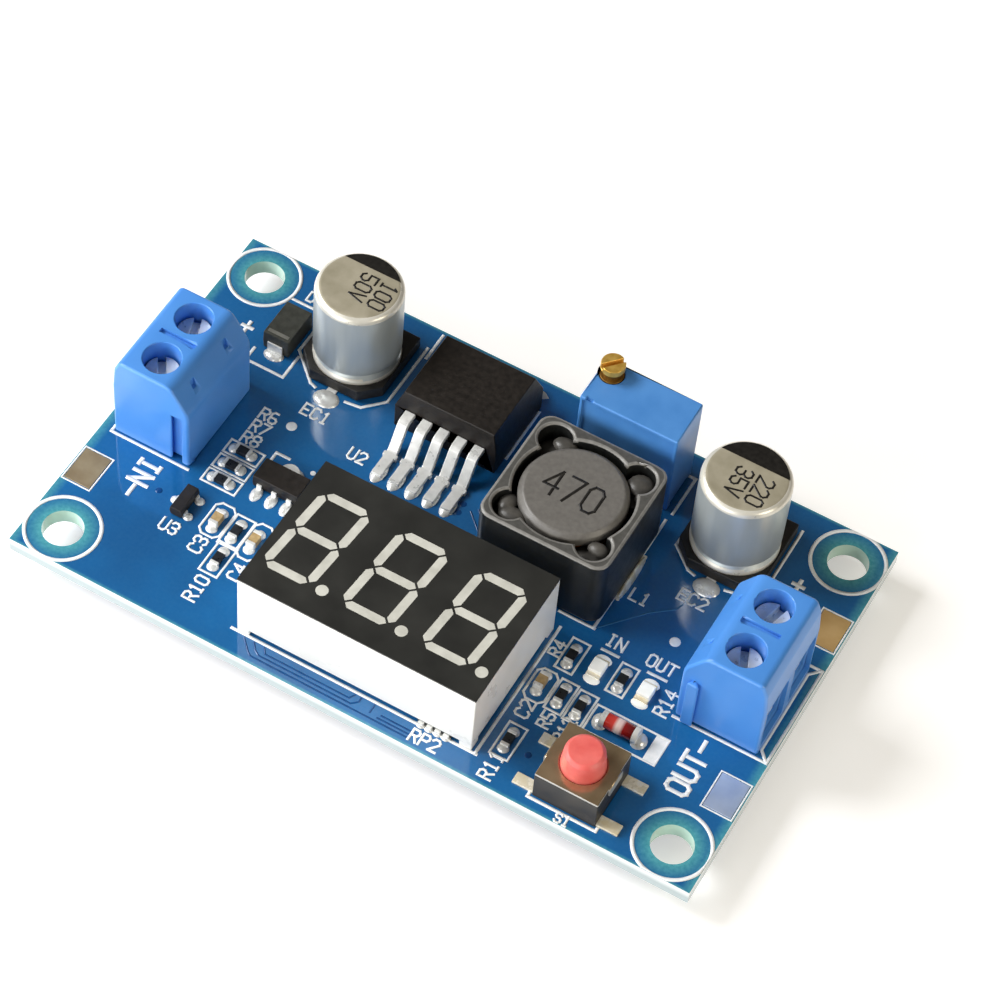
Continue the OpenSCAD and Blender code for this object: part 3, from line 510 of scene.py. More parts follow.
for source, paint in KEPT.items():
    for slot in frame["nodes"][source].material_slots:
        slot.material = FINISH[paint]
print("solids kept:", len(KEPT))

# %% [markdown]
# ## Capacitor cans
# A can is drawn aluminium, so it is perfectly round, with a rolled neck near its foot and a soft shoulder
# at its top. Spinning a profile could make it. Here the solid already is that turned shape, so the copy is
# merged and shaded smooth. The rolled foot and the shoulder are painted brighter than the wall, as a
# highlight where the rolls catch the light, and the flat top carries a lacquer of another colour.

# %% Cans
ROLL, SHOULDER = 1.0 * MM, 0.55 * MM  # height of the rolled foot, and depth of the shoulder, which both take a painted highlight
HAIR = 0.02 * MM  # a face less than this below the top is the top
CAP_SIDES = 20  # a face with at least so many corners is a flat disc
SOFT = math.radians(40)  # edges sharper than this stay crisp


def can(source):
    """Stands for one can, with a finish for its wall and its flat top, and a painted highlight on its foot and
    shoulder.
    """
    mesh = flat_copy(source)
    bm = bmesh.new()
    bm.from_mesh(mesh)
    foot, shoulder, top = low(source).z + ROLL, high(source).z - SHOULDER, high(source).z - HAIR
    for face in bm.faces:
        face.smooth = len(face.verts) < CAP_SIDES
        z = face.calc_center_median().z
        # slot 2 is the painted highlight on the foot and the shoulder
        face.material_index = 1 if z > top else 2 if z > shoulder or z < foot else 0
    for edge in bm.edges:
        edge.smooth = edge.is_manifold and edge.calc_face_angle(0) < SOFT
    bm.to_mesh(mesh)
    bm.free()
    for paint in ("can_aluminium", "can_top", "can_rim_highlight"):
        mesh.materials.append(FINISH[paint])
    piece = placed(source + "_shape", mesh)
    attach(piece, "board")
    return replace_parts(piece, source)


for end in ("input", "output"):
    print(can(end + "_capacitor_can").name)

# %% [markdown]
# ## A pen for everything drawn
# The white print, the numbers on the parts and the copper tracks are all lines of one width. A node tree is
# the right tool, because it can turn any set of edges into strips: each edge becomes a curve, and a flat
# rectangle is swept along it. The width, the thickness and the ink are inputs, so one tree serves them all.

# %% The pen's node tree
def new_tree(name, sockets):
    """A geometry tree with named inputs, and its first and last node."""
    tree = bpy.data.node_groups.new(name, "GeometryNodeTree")
    tree.interface.new_socket("Geometry", in_out="INPUT", socket_type="NodeSocketGeometry")
    for title, kind in sockets:
        tree.interface.new_socket(title, in_out="INPUT", socket_type="NodeSocket" + kind)
    tree.interface.new_socket("Geometry", in_out="OUTPUT", socket_type="NodeSocketGeometry")
    return tree, tree.nodes.new("NodeGroupInput"), tree.nodes.new("NodeGroupOutput")


def chain(tree, kind, **links):
    """Adds a geometry node. Inputs are named, with _ for a space, and hold a value or an output."""
    made = tree.nodes.new("GeometryNode" + kind if hasattr(bpy.types, "GeometryNode" + kind) else kind)
    for key, value in links.items():
        socket = made.inputs[key.replace("_", " ")]
        if isinstance(value, bpy.types.NodeSocket):
            tree.links.new(value, socket)
        else:
            socket.default_value = value
    return made


pen, given, result = new_tree("pen", [("Width", "Float"), ("Thickness", "Float"), ("Ink", "Material")])
lines = chain(pen, "MeshToCurve", Mesh=given.outputs["Geometry"])
level = chain(pen, "SetCurveNormal", Curve=lines.outputs[0])
level.mode = "Z_UP"
nib = chain(pen, "CurvePrimitiveQuadrilateral", Width=given.outputs["Width"], Height=given.outputs["Thickness"])
strips = chain(pen, "CurveToMesh", Curve=level.outputs[0], Profile_Curve=nib.outputs[0], Fill_Caps=True)
plain = chain(pen, "RealizeInstances", Geometry=strips.outputs[0])
inked = chain(pen, "SetMaterial", Geometry=plain.outputs[0], Material=given.outputs["Ink"])
pen.links.new(inked.outputs[0], result.inputs[0])
print("the pen's nodes:", len(pen.nodes))


# %% From a seed to a piece
def grow(name, tree, seed, **values):
    """Runs a tree over a seed mesh and keeps the result as a plain piece."""
    rough = placed(name + "_seed", seed)
    modifier = rough.modifiers.new("grow", "NODES")
    modifier.node_group = tree
    for item in tree.interface.items_tree:
        if item.in_out == "INPUT" and item.name in values:
            modifier[item.identifier] = values[item.name]
    piece = settle(rough, name)
    print(name, "faces:", len(piece.data.polygons))
    return piece


# %% Strokes
INK, FILM = 0.03, 0.01  # thickness of the board's print and of the print on the parts, in millimetres
OVERLAP = 0.42  # each stroke reaches past its end by this share of its width
LEVELS, LEVEL = 11, 0.0007 * MM  # neighbouring strokes lie at different levels, so they never share a face


def strokes(paths, z, width):
    """A seed mesh: every straight stroke is an edge of its own, a little longer at both ends."""
    points, edges = [], []
    for path in paths:
        for a, b in zip(path, path[1:]):
            a, b = Vector((a[0], a[1], 0)), Vector((b[0], b[1], 0))
            reach = (b - a).normalized() * width * OVERLAP
            lift = Vector((0, 0, z + len(edges) % LEVELS * LEVEL))
            edges.append((len(points), len(points) + 1))
            points += [(a - reach) * MM + lift, (b + reach) * MM + lift]
    mesh = bpy.data.meshes.new("strokes")
    mesh.from_pydata(points, edges, [])
    return mesh


def draw(name, paths, width, z=BOARD_TOP, thick=INK, ink="white_ink"):
    """Draws paths, given in millimetres, on a face at height z."""
    seed = strokes(paths, z + thick * MM / 2, width)
    return grow(name, pen, seed, Width=width * MM, Thickness=thick * MM, Ink=FINISH[ink])


# %% Boxes to draw
def frame_of(x, y, l, w):
    """A rectangle round a chip, from its centre and its two sides."""
    a, b = l / 2, w / 2
    return [(x - a, y - b), (x + a, y - b), (x + a, y + b), (x - a, y + b), (x - a, y - b)]


def soft_frame(x, y, l, w, cut=0.45):
    """The same with its corners cut."""
    a, b, c = l / 2, w / 2, cut
    return [(x - a + c, y - b), (x + a - c, y - b), (x + a, y - b + c), (x + a, y + b - c),
            (x + a - c, y + b), (x - a + c, y + b), (x - a, y + b - c), (x - a, y - b + c), (x - a + c, y - b)]


# %% [markdown]
# ## Letters made of strokes
# The labels on a board are drawn with a plotter-like font: each letter is a few straight strokes on a small
# grid. Blender's own font has filled shapes with thick and thin parts, which would look wrong here. So each
# letter is written as grid points, and the same pen draws them.

# %% Stroke letters
GLYPHS = {
    "0": "10 30 41 45 36 16 05 01 10", "1": "15 26 20|10 30", "2": "05 16 36 45 44 00 40",
    "3": "05 16 36 45 44 33 13|33 42 41 30 10 01", "4": "30 36 02 42", "5": "46 06 03 33 42 41 30 10 01",
    "6": "36 16 05 01 10 30 41 42 33 03", "7": "06 46 10",
    "8": "13 04 05 16 36 45 44 33 13 02 01 10 30 41 42 33",
    "R": "00 06 36 45 44 33 03|23 40", "C": "45 36 16 05 01 10 30 41",
    "E": "46 06 00 40|03 33", "L": "06 00 40", "U": "06 01 10 30 41 46", "P": "00 06 36 45 44 33 03",
    "S": "45 36 16 05 04 13 33 42 41 30 10 01", "I": "20 26|10 30|16 36", "N": "00 06 40 46",
    "D": "00 06 36 45 41 30 00", "O": "10 30 41 45 36 16 05 01 10", "T": "20 26|06 46", "V": "06 20 46",
    "+": "21 25|03 43", "-": "03 43",
}
ROWS, PITCH, GAP = 6, 5.6, 1.6  # grid steps: a letter's height, from letter to letter, and the gap between two


def letters(text, x, y, height, turn=0, squeeze=0.85):
    """Strokes of a word, centred on x, y and turned by so many degrees."""
    unit = height / ROWS
    wide = unit * squeeze
    start = -(len(text) * PITCH - GAP) * wide / 2
    c, s = math.cos(math.radians(turn)), math.sin(math.radians(turn))
    paths = []
    for i, letter in enumerate(text):
        for stroke in GLYPHS[letter].split("|"):
            grid = [(i * PITCH + int(p[0]), int(p[1]) - ROWS / 2) for p in stroke.split()]
            flat = [(start + a * wide, b * unit) for a, b in grid]
            paths.append([(x + a * c - b * s, y + a * s + b * c) for a, b in flat])
    return paths


print("letters known:", len(GLYPHS))

# %% [markdown]
# ## White print on the board
# The print says where each part goes. It is ink pressed through a screen, so each kind of mark has its own
# width: broad outlines, finer boxes and labels, and heavy words at the terminals. All places are typed in
# millimetres from the board's centre, because they follow no rule that could be worked out.

# %% Outlines
switch = Vector((middle("button_cover").x, low("button_cover").y, 0)) / MM
OUTLINES = [
    [(-12, -17.4), (11.8, -17.4)], [(11.65, -17.4), (11.65, -2.7)],
    [(-22.65, 17.2), (-22.65, 10.9), (-21.8, 10.1), (-19.9, 8.3), (-19.3, 8.1)],
    [(-16.2, 8.1), (-14.7, 8.3), (-13, 10.1), (-13, 17.2)],
    [(16.1, 17.2), (16.1, 10.1), (18.2, 8.3), (18.9, 8.1)],
    [(21.9, 8.1), (22.9, 8.3), (24.85, 10.1), (24.85, 17.2)],
    [(-12.55, 16.2), (-12.55, 19.2)], [(-1, 10.3), (-1, 16.3)],
    [(10.8, -1.3), (14.2, -1.3)], [(14.1, -1.3), (14.1, 2.2)], [(14.1, 7.8), (14.1, 11.9)],
    [(13.2, 17.2), (14.3, 17.2), (14.3, 12.8)],
    [(-31.9, 5.1), (-31.9, -5.5), (-24, -5.5)],
    [(24, -5.5), (32.8, -5.5), (32.8, 5.1), (24, 5.1)], [(32.6, -5.3), (31.85, -4.5), (31.85, 4.2), (32.6, 5)],
    [(-26.2, 9), (-26.2, 7.5), (-22.3, 7.5), (-22.3, 10.2)], [(-26.2, 15.6), (-22.3, 15.6)],
    [(-18.4, -1.2), (-18.4, 0.15), (-17.1, 0.15)],
    [(switch.x + x, switch.y + y) for x, y in ((-3.2, 0.5), (-3.2, -0.3), (3.2, -0.3), (3.2, 0.5))],
    [(15.75, -2.75), (17.3, -2.75)], [(20.2, -2.75), (21.9, -2.75)],
]
draw("print_outlines", OUTLINES, 0.28)

# %% Boxes round the chips
BOXES = [(-20.8, y, 3.4, 1.5) for y in (-1.4, -3.2, -5)] + [
    (-16.85, -8.9, 1.8, 3.4), (-16.7, -12.1, 1.8, 3.4), (13.93, -4.7, 1.65, 3.4), (18.7, -4.6, 1.6, 3.2),
    (15.1, -8.75, 1.6, 3.3), (17, -8.9, 1.7, 3.3), (13.45, -14.85, 1.7, 3.5),
    (21.5, -9.2, 6.8, 2.8)]
SOFT_BOXES = [(-18.9, -8.7, 2, 3.6), (-14.95, -8.95, 1.8, 4), (13.1, -8.7, 2, 3.4)]
paths = [frame_of(*b) for b in BOXES] + [soft_frame(*b) for b in SOFT_BOXES]
draw("print_boxes", paths, 0.2)
borders = [frame_of(s * 31.4, y, 2.86, 3.86) for s in (-1, 1) for y in (-10, 9.1)]
draw("pad_borders", borders, 0.14)

# %% Labels
LABELS = [
    ("R6", -21.05, 3.2, 1.2, 0), ("R7", -21.05, 1.7, 1.2, 0), ("R8", -21.05, 0.2, 1.2, 0),
    ("U2", -12.2, 3.6, 1.2, 0), ("U3", -22.1, -11.4, 1.2, 0), ("EC1", -17.7, 5.6, 1.2, 0),
    ("EC2", 20, 5.8, 1.2, 0), ("L1", 16, 3.6, 1.2, 0), ("RP2", 7.5, -18.5, 1.2, 0),
    ("S1", 20.9, -19.1, 0.9, 0), ("D1", -24.4, 16.7, 1.1, 0),
    ("IN", 16.5, -1.55, 1.2, 0), ("OUT", 20.9, -1.55, 1.2, 0), ("R10", -16.7, -15.6, 1.2, 90),
    ("C3", -19, -11.7, 1.2, 90), ("C4", -14.6, -12.4, 1.2, 90), ("R4", 12.5, -4.7, 1.1, 90),
    ("R14", 22.95, -4.7, 1.2, 90), ("C2", 13.05, -11.4, 1.2, 90), ("R5", 15.1, -11.4, 1.1, 90),
    ("R12", 16.9, -11.5, 1.1, 90), ("R11", 13.4, -17.7, 1.2, 90),
]
paths = [p for label in LABELS for p in letters(*label)]
draw("print_labels", paths, 0.21)
large = letters("IN-", -27, -8.4, 1.9, -90) + letters("OUT-", 27.55, -9.1, 1.9, 90)
large += letters("+", 27.1, 11.9, 1.7, 0) + letters("+", -28, 10.7, 1.7, 0)
draw("print_words", large, 0.38)

# %% [markdown]
# ## Rings round the holes
# Four equal rings repeat at the four holes. A second tree puts one swept circle on every point of its seed.
# The rings reach just past the board's edge, where no ink can lie, so each point is held inside it.
# The same tree winds the inductor's coil later, with the points stacked upwards and a round wire.

# %% The rings' node tree
INK_STOP = 0.02 * MM  # ink stops this far from the board's edge


def held(tree, operation, place, limit):
    """Keeps a place on one side of a limit."""
    made = chain(tree, "ShaderNodeVectorMath")
    made.operation = operation
    tree.links.new(place, made.inputs[0])
    made.inputs[1].default_value = limit
    return made.outputs[0]


def ring_tree(name, wire):
    """A tree that puts one ring on every point: of flat ink, or of round wire."""
    sockets = [("Radius", "Float"), ("Width", "Float"), ("Thickness", "Float"), ("Ink", "Material")]
    tree, given, result = new_tree(name, sockets)
    circle = chain(tree, "CurvePrimitiveCircle", Radius=given.outputs["Radius"], Resolution=72)
    width, height = given.outputs["Width"], given.outputs["Thickness"]
    if wire:
        nib = chain(tree, "CurvePrimitiveCircle", Radius=width, Resolution=8)
    else:
        nib = chain(tree, "CurvePrimitiveQuadrilateral", Width=width, Height=height)
    level = chain(tree, "SetCurveNormal", Curve=circle.outputs[0])
    level.mode = "Z_UP"
    ring = chain(tree, "CurveToMesh", Curve=level.outputs[0], Profile_Curve=nib.outputs[0])
    points = chain(tree, "MeshToPoints", Mesh=given.outputs["Geometry"])
    copies = chain(tree, "InstanceOnPoints", Points=points.outputs[0], Instance=ring.outputs[0])
    plain = chain(tree, "RealizeInstances", Geometry=copies.outputs[0])
    spot = chain(tree, "InputPosition").outputs[0]
    inside = held(tree, "MINIMUM", spot, (HALF_L - INK_STOP, HALF_W - INK_STOP, 1))
    inside = held(tree, "MAXIMUM", inside, (INK_STOP - HALF_L, INK_STOP - HALF_W, -1))
    trimmed = chain(tree, "SetPosition", Geometry=plain.outputs[0], Position=inside)
    inked = chain(tree, "SetMaterial", Geometry=trimmed.outputs[0], Material=given.outputs["Ink"])
    tree.links.new(inked.outputs[0], result.inputs[0])
    return tree


# %% Rings
def dots(places):
    """A seed mesh of loose points."""
    mesh = bpy.data.meshes.new("dots")
    mesh.from_pydata([Vector(p) for p in places], [], [])
    return mesh


flat_ring = ring_tree("flat_rings", False)
corners = [(sx * HOLE_X, sy * HOLE_Y, BOARD_TOP + INK * MM / 2) for sx in (-1, 1) for sy in (-1, 1)]
grow("hole_rings", flat_ring, dots(corners), Radius=3.32 * MM, Width=0.34 * MM, Thickness=INK * MM,
     Ink=FINISH["white_ink"])

# %% [markdown]
# ## Solder
# Where a lead meets the board, molten tin climbs it and freezes as a small bright hill. There are dozens of
# them in a few sizes, so a third tree puts a flattened dome on each point, and reads its length, width and
# height from an attribute stored on that point.

# %% The solder's node tree
CUT_BELOW = -0.2  # a ball of radius 1 loses what is under this height
hills, given, result = new_tree("solder_hills", [("Metal", "Material")])
ball = chain(hills, "MeshUVSphere", Segments=14, Rings=8, Radius=1.0)
spot = chain(hills, "InputPosition")
heights = chain(hills, "ShaderNodeSeparateXYZ", Vector=spot.outputs[0])
under = hills.nodes.new("FunctionNodeCompare")
under.operation = "LESS_THAN"
hills.links.new(heights.outputs[2], under.inputs[0])
under.inputs[1].default_value = CUT_BELOW
dome = chain(hills, "DeleteGeometry", Geometry=ball.outputs[0], Selection=under.outputs[0])
size = chain(hills, "InputNamedAttribute", Name="size")
size.data_type = "FLOAT_VECTOR"
points = chain(hills, "MeshToPoints", Mesh=given.outputs["Geometry"])
copies = chain(hills, "InstanceOnPoints", Points=points.outputs[0], Instance=dome.outputs[0],
               Scale=size.outputs[0])
plain = chain(hills, "RealizeInstances", Geometry=copies.outputs[0])
soft = chain(hills, "SetShadeSmooth", Geometry=plain.outputs[0])
metal = chain(hills, "SetMaterial", Geometry=soft.outputs[0], Material=given.outputs["Metal"])
hills.links.new(metal.outputs[0], result.inputs[0])
print("the solder's nodes:", len(hills.nodes))


# %% Hills, and where the leads are
def hills_on(name, places, sizes, paint):
    """A hill on each place, with half its length, width and height in millimetres."""
    seed = dots(places)
    store = seed.attributes.new("size", "FLOAT_VECTOR", "POINT")
    store.data.foreach_set("vector", [s * MM for size in sizes for s in size])
    return grow(name, hills, seed, Metal=FINISH[paint])


def solder(name, hills_at, paint="solder"):
    """Hills on the board: each is x, y, half its length, half its width and its height, in millimetres."""
    places = [(x * MM, y * MM, BOARD_TOP) for x, y, *size in hills_at]
    return hills_on(name, places, [size for x, y, *size in hills_at], paint)


def parts_of(source):
    """The centre and the half sides, in mm, of each loose part of a solid, such as each lead of a row."""
    bm = bmesh.new()
    bm.from_mesh(frame["nodes"][source].data)
    bmesh.ops.remove_doubles(bm, verts=bm.verts, dist=WELD)
    left, boxes = set(bm.verts), []
    while left:
        queue, group = [left.pop()], []
        while queue:
            v = queue.pop()
            group.append(v.co.copy())
            for other in (e.other_vert(v) for e in v.link_edges):
                if other in left:
                    left.remove(other)
                    queue.append(other)
        lo = Vector([min(c[i] for c in group) for i in range(3)])
        hi = Vector([max(c[i] for c in group) for i in range(3)])
        boxes.append(((lo + hi) / 2 / MM, (hi - lo) / 2 / MM))
    bm.free()
    return boxes


# %% Solder at the small parts
def end_hills(chips, length, width, along_x=False):
    """A hill at both ends of each chip of one size, as the chip lies along X or along Y."""
    reach, half = length / 2 + 0.1, width / 2 + 0.15
    if along_x:
        return [(x + side * reach, y, 0.5, half, 0.3) for x, y in chips for side in (-1, 1)]
    return [(x, y + side * reach, half, 0.5, 0.3) for x, y in chips for side in (-1, 1)]


at_chips = end_hills([(-20.9, y) for y in (-1.4, -3.2, -5)], 1.6, 0.8, along_x=True)
at_chips += end_hills([(-16.9, -8.9), (-16.7, -12.1), (13.9, -4.8), (18.7, -4.7), (15.05, -8.7),
                       (16.95, -8.9), (13.4, -14.8), (-18.9, -8.8), (-15, -9), (13, -8.5)], 1.6, 0.8)
at_leds = end_hills([(16.4, -4.8), (21, -4.8)], 2, 1.25)
for source, wider, height in (("resistor_array_ends", 0.2, 0.22), ("small_regulator_leads", 0.3, 0.4),
                              ("small_transistor_leads", 0.2, 0.3)):
    for c, half in parts_of(source):
        at_chips.append((c.x, c.y, half.x + wider, half.y + wider, height))
solder("chip_solder", at_chips)
# the LEDs' white ends take the same painted glow
solder("led_solder", at_leds, "led_white")

# %% Solder at the larger leads
at_leads = [(x, y, 1.25, 1.0, 0.3) for x in (-17.8, 20.4) for y in (7.5, 18)]
for c, half in parts_of("regulator_leads"):
    at_leads.append((c.x, c.y - half.y + 0.6, 0.68, 1.25, 0.32))
for c, half in parts_of("input_diode_leads"):
    at_leads.append((c.x, c.y, half.x + 0.25, half.y + 0.45, 0.35))
for c, half in parts_of("glass_diode_caps"):
    out = 0.3 if c.x > middle("glass_diode_tube").x / MM else -0.3
    at_leads.append((c.x + out, c.y, 0.75, 0.85, 0.6))
tab = middle("regulator_tab") / MM
at_leads.append((tab.x, high("regulator_tab").y / MM - 0.3, 5.2, 0.9, 0.35))
coil = middle("inductor_shell") / MM
solder("lead_solder", at_leads)
solder("coil_solder", [(coil.x + side * 6.35, coil.y, 0.35, 2.7, 0.75) for side in (-1, 1)], "gold_wire")

# %% [markdown]
# ## Glass diode
# The small diode is a clear tube with two red slugs inside and a pale gap between them, and the pale gap
# also carries a painted highlight across the glass. Modelling the inside would cost many faces for two
# millimetres. The place along the tube picks the colour instead, and a clear coat gives the wet look of glass.

# %% Bands in the glass
glass = FINISH["diode_glass"]
shine = glass.node_tree.nodes["Principled BSDF"]
spot = node(glass, "ShaderNodeTexCoord").outputs["Object"]
ends = low("glass_diode_tube").x, high("glass_diode_tube").x
along = node(glass, "ShaderNodeSeparateXYZ", in0=spot).outputs[0]
share = node(glass, "ShaderNodeMapRange", in0=along, in1=ends[0], in2=ends[1], in3=0.0, in4=1.0).outputs[0]
# the pale band in the middle is the clear gap together with a painted highlight
bands = [(0.0, "#c23026"), (0.3, "#d8433a"), (0.42, "#f2dcd4"), (0.55, "#e9c9c2"), (0.66, "#8e1a18"),
         (1.0, "#5a0f10")]
glass.node_tree.links.new(ramp(glass, share, bands), shine.inputs["Base Color"])
print("bands in the glass:", len(bands))

# %% [markdown]
# ## Glue, wire and copper
# Soft lumps of glue hold the coil's drum in its shell. They are hills of the same tree as the solder, in
# another finish. The wire is wound in level turns, so the ring tree stacks them. Copper tracks and plugged
# vias lie under the lacquer as faint relief: a few strokes and flat hills are enough for them.

# %% Glue in the coil's corners
# Each lump: its place from the coil's centre, half its length and width, and its depth below the shell's top.
LUMPS = [(x * 3.95, y * 3.95, 1.6, 1.6, 2.2) for x in (-1, 1) for y in (-1, 1)] + [
    (-3.2, 4.4, 1.15, 0.8, 1.0), (-3.6, -4.3, 1.3, 0.85, 1.1), (4.3, 4.1, 1.2, 1.15, 1.0),
    (4.4, -3.7, 0.95, 0.7, 0.9), (-4.5, -3.4, 0.8, 1.1, 1.1), (4.9, 3.3, 0.6, 0.9, 1.2)]
roof = high("inductor_shell").z / MM
places = [Vector((coil.x + x, coil.y + y, roof - down)) * MM for x, y, a, b, down in LUMPS]
hills_on("coil_glue", places, [(a, b, 0.5) for x, y, a, b, down in LUMPS], "glue")

# %% The coil's wire
turns = ring_tree("wire_turns", True)
wire, floor_z, roof_z = 0.3, low("inductor_winding").z / MM, high("inductor_winding").z / MM
layers = int((roof_z - floor_z) / (2 * wire))
levels = [(coil.x * MM, coil.y * MM, (floor_z + wire * (2 * i + 1)) * MM) for i in range(layers)]
outer = (high("inductor_winding").x - low("inductor_winding").x) / 2
coil_wire = grow("coil_wire", turns, dots(levels), Radius=outer - wire * MM, Width=wire * MM,
                 Ink=FINISH["copper_wire"])
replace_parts(coil_wire, "inductor_winding")

# %% Vias and copper tracks
COPPER = 0.012  # what a track raises the lacquer, in millimetres
white_vias = [(-18.8, 3.3, 0.5, 0.5, 0.06), (20.7, 1.15, 0.5, 0.5, 0.06), (-14.55, -0.05, 0.25, 0.25, 0.04)]
solder("plugged_vias", white_vias, "white_ink")
blue_vias = [(15.5, -15.2), (-24.9, -8.7), (-1.75, 4.05), (-1.7, 3.05)]
solder("small_vias", [(x, y, 0.32, 0.32, 0.04) for x, y in blue_vias], "track_blue")
TRACKS = [
    [(-9.6, -17.7), (-9.1, -18.3), (-8.6, -18.6), (0.4, -18.6), (0.9, -18.1), (0.9, -17.7)],
    [(-8.6, -17.7), (-8.2, -18.2), (0, -18.2), (0.3, -17.7)],
    [(-10.6, -17.7), (-9.6, -18.7), (-9.2, -19.0), (6, -19.0)],
    [(2.2, -17.7), (2.2, -18.5)], [(3.2, -18.3), (6.5, -18.3)], [(3, -18.65), (6.2, -18.65)],
    [(-0.8, 3.7), (0.9, 2.1)], [(-0.3, 4.2), (1.3, 2.7)],
]
draw("board_tracks", TRACKS, 0.16, thick=COPPER, ink="track_blue")
long_track = [(14.4, -1), (17.4, 2.6), (19.2, 4.1), (19.5, 4.9)]
draw("board_tracks_light", [long_track], 0.14, thick=COPPER, ink="track_light")

# %% [markdown]
# ## Printed marks on the parts
# Each can has a dark sector that shows its minus side, and its rating as plain numbers. The coil shows its
# value. The sector is a flat shape made from a few points on the can's circle, and the numbers use the pen.

# %% A flat mark
def plate(name, outline, z, thick, paint):
    """A thin flat shape from its outline in millimetres."""
    bm = bmesh.new()
    low_ring = [bm.verts.new((x * MM, y * MM, z)) for x, y in outline]
    high_ring = [bm.verts.new((x * MM, y * MM, z + thick * MM)) for x, y in outline]
    bm.faces.new(high_ring)
    bm.faces.new(low_ring[::-1])
    for i in range(len(outline)):
        j = (i + 1) % len(outline)
        bm.faces.new((low_ring[i], low_ring[j], high_ring[j], high_ring[i]))
    bmesh.ops.recalc_face_normals(bm, faces=bm.faces)
    mesh = bpy.data.meshes.new(name)
    bm.to_mesh(mesh)
    bm.free()
    mesh.materials.append(FINISH[paint])
    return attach(placed(name, mesh), "board")


# %% Marks on the cans
# Each can: its rating, its voltage, the angle at which its sector starts, and where its first line stands.
CANS = {"input": ("100", "50V", 38, (2.3, 0)), "output": ("220", "35V", 25, (1.6, -0.9))}
RIM = 0.4  # the sector ends this far inside the can's wall, where the shoulder starts
LINE = 2  # from one line of print to the next
for end, (rating, volts, first, (x, y)) in CANS.items():
    c, top = middle(end + "_capacitor_can") / MM, high(end + "_capacitor_can").z
    r = (high(end + "_capacitor_can").x - low(end + "_capacitor_can").x) / 2 / MM - RIM
    angles = [math.radians(a) for a in range(first, 181 - first, 2)]
    sector = [(c.x + r * math.cos(a), c.y + r * math.sin(a)) for a in angles]
    plate(end + "_can_sector", sector, top, FILM, "black_ink")
    words = letters(rating, c.x + x, c.y + y, 1.5, -90, 0.8)
    words += letters(volts, c.x + x - LINE, c.y + y, 1.5, -90, 0.8)
    draw(end + "_can_numbers", words, 0.19, top, FILM, "black_ink")

# %% Marks on the board, the diode and the coil
bar = [(23.75, -10.6), (24.95, -10.6), (24.95, -7.8), (23.75, -7.8)]
plate("print_bar", bar, BOARD_TOP, INK, "white_ink")
near, far = low("input_diode_body") / MM, high("input_diode_body") / MM
x0, x1, y0, y1 = near.x + 0.25, far.x - 0.25, near.y + 0.4, near.y + 0.75
plate("diode_band", [(x0, y0), (x1, y0), (x1, y1), (x0, y1)], far.z * MM, FILM, "band_grey")
drum = middle("inductor_drum") / MM
number = letters("470", drum.x - 0.1, drum.y - 0.1, 2.7, 0, 0.75)
draw("coil_number", number, 0.26, high("inductor_drum").z, FILM, "black_ink")

# %% [markdown]
# ## Floor and light
# The board stands on a plain white floor. White comes from the floor's own colour, plus a little light that
# only the camera and mirror-like surfaces see, so no extra light falls on the object, and its shadow stays.
# A white room could be built to light everything, but lamps are easier to reason about. A large one on the
# left makes the soft shadow on the right, and a weaker one fills from the front. Two small ones stand close:
# one makes the sheen on the left faces, and a warm one lights the faces that look to the right.

# %% Floor
HALF_FLOOR = 1.5
bm = bmesh.new()
bmesh.ops.create_grid(bm, x_segments=1, y_segments=1, size=HALF_FLOOR)
sheet = bpy.data.meshes.new("floor")
bm.to_mesh(sheet)
bm.free()
floor = placed("floor", sheet)
print("floor:", 2 * HALF_FLOOR, "m wide")

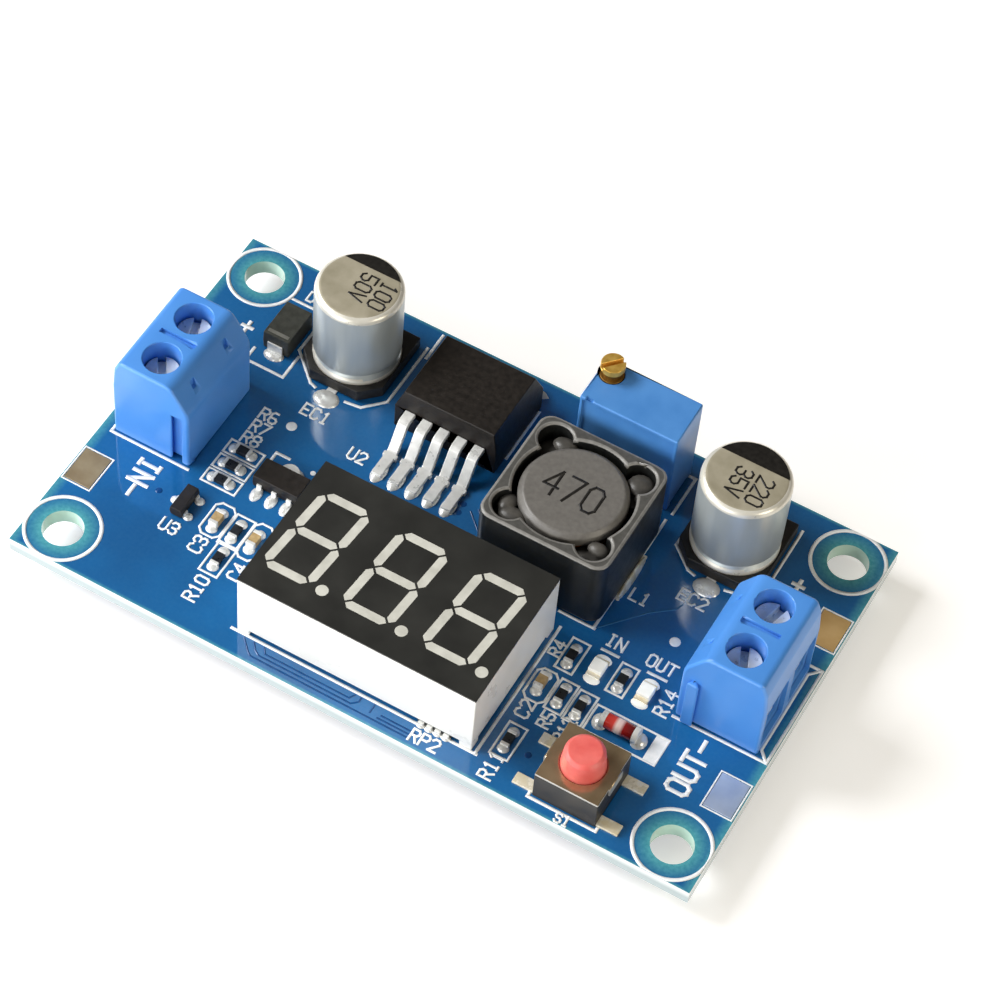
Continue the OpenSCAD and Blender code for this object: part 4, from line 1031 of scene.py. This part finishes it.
# %% Its paper
GLOW = 0.45
paper = bpy.data.materials.new("paper")
paper.use_nodes = True
sheet.materials.append(paper)
matt = paper.node_tree.nodes["Principled BSDF"]
matt.inputs["Base Color"].default_value = (0.8, 0.8, 0.82, 1)
matt.inputs["Roughness"].default_value = 0.9
glow = node(paper, "ShaderNodeEmission", in0=(1, 0.955, 0.86, 1))
rays = node(paper, "ShaderNodeLightPath")
seen = rays.outputs["Is Camera Ray"]
for kind in ("Is Glossy Ray", "Is Transmission Ray"):
    seen = node(paper, "ShaderNodeMath", operation="MAXIMUM", in0=seen, in1=rays.outputs[kind]).outputs[0]
seen = node(paper, "ShaderNodeMath", operation="MULTIPLY", in0=seen, in1=GLOW).outputs[0]
paper.node_tree.links.new(seen, glow.inputs["Strength"])
both = node(paper, "ShaderNodeAddShader", in0=matt.outputs[0], in1=glow.outputs[0])
paper.node_tree.links.new(both.outputs[0], paper.node_tree.nodes["Material Output"].inputs["Surface"])
floor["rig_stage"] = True
print("paper glows for the camera with strength", GLOW)

# %% Lamps
def lamp(name, place, size, power, colour=(1, 1, 1)):
    """A square lamp that faces the board's centre: its place and size in metres, its power in watts."""
    light = bpy.data.lights.new(name, "AREA")
    light.size, light.energy, light.color = size, power, colour
    stand = placed(name, light)
    stand.location = place
    stand.rotation_euler = (-Vector(place)).to_track_quat("-Z", "Y").to_euler()
    print(name, power, "W")


lamp("key", (-0.5, -0.09, 0.5), 0.3, 4.1)
lamp("fill", (-0.15, -0.7, 0.25), 0.5, 2.8)
lamp("near", (-0.12, -0.09, 0.065), 0.06, 0.12)
lamp("warm", (0.19, -0.04, 0.1), 0.08, 0.14, (1, 0.92, 0.76))

# %% The room
room = bpy.data.worlds.new("room")
bpy.context.scene.world = room
room.use_nodes = True
sky = room.node_tree.nodes["Background"]
sky.inputs["Color"].default_value = (1, 0.95, 0.88, 1)
sky.inputs["Strength"].default_value = 0.1
bpy.context.scene.view_settings.view_transform = "Standard"
print("room:", room.name)

# %% [markdown]
# ## Measure
# Both boxes, the frame's own and the dressed object's, are printed, so they can be set side by side.
# The dressed object has to stay inside the frame's own box.

# %% Finish
dressed_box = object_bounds()
for title, box in (("cad", cad_box), ("visual", dressed_box)):
    print(title, [round(v / MM, 3) for v in box[0]], [round(v / MM, 3) for v in box[1]])
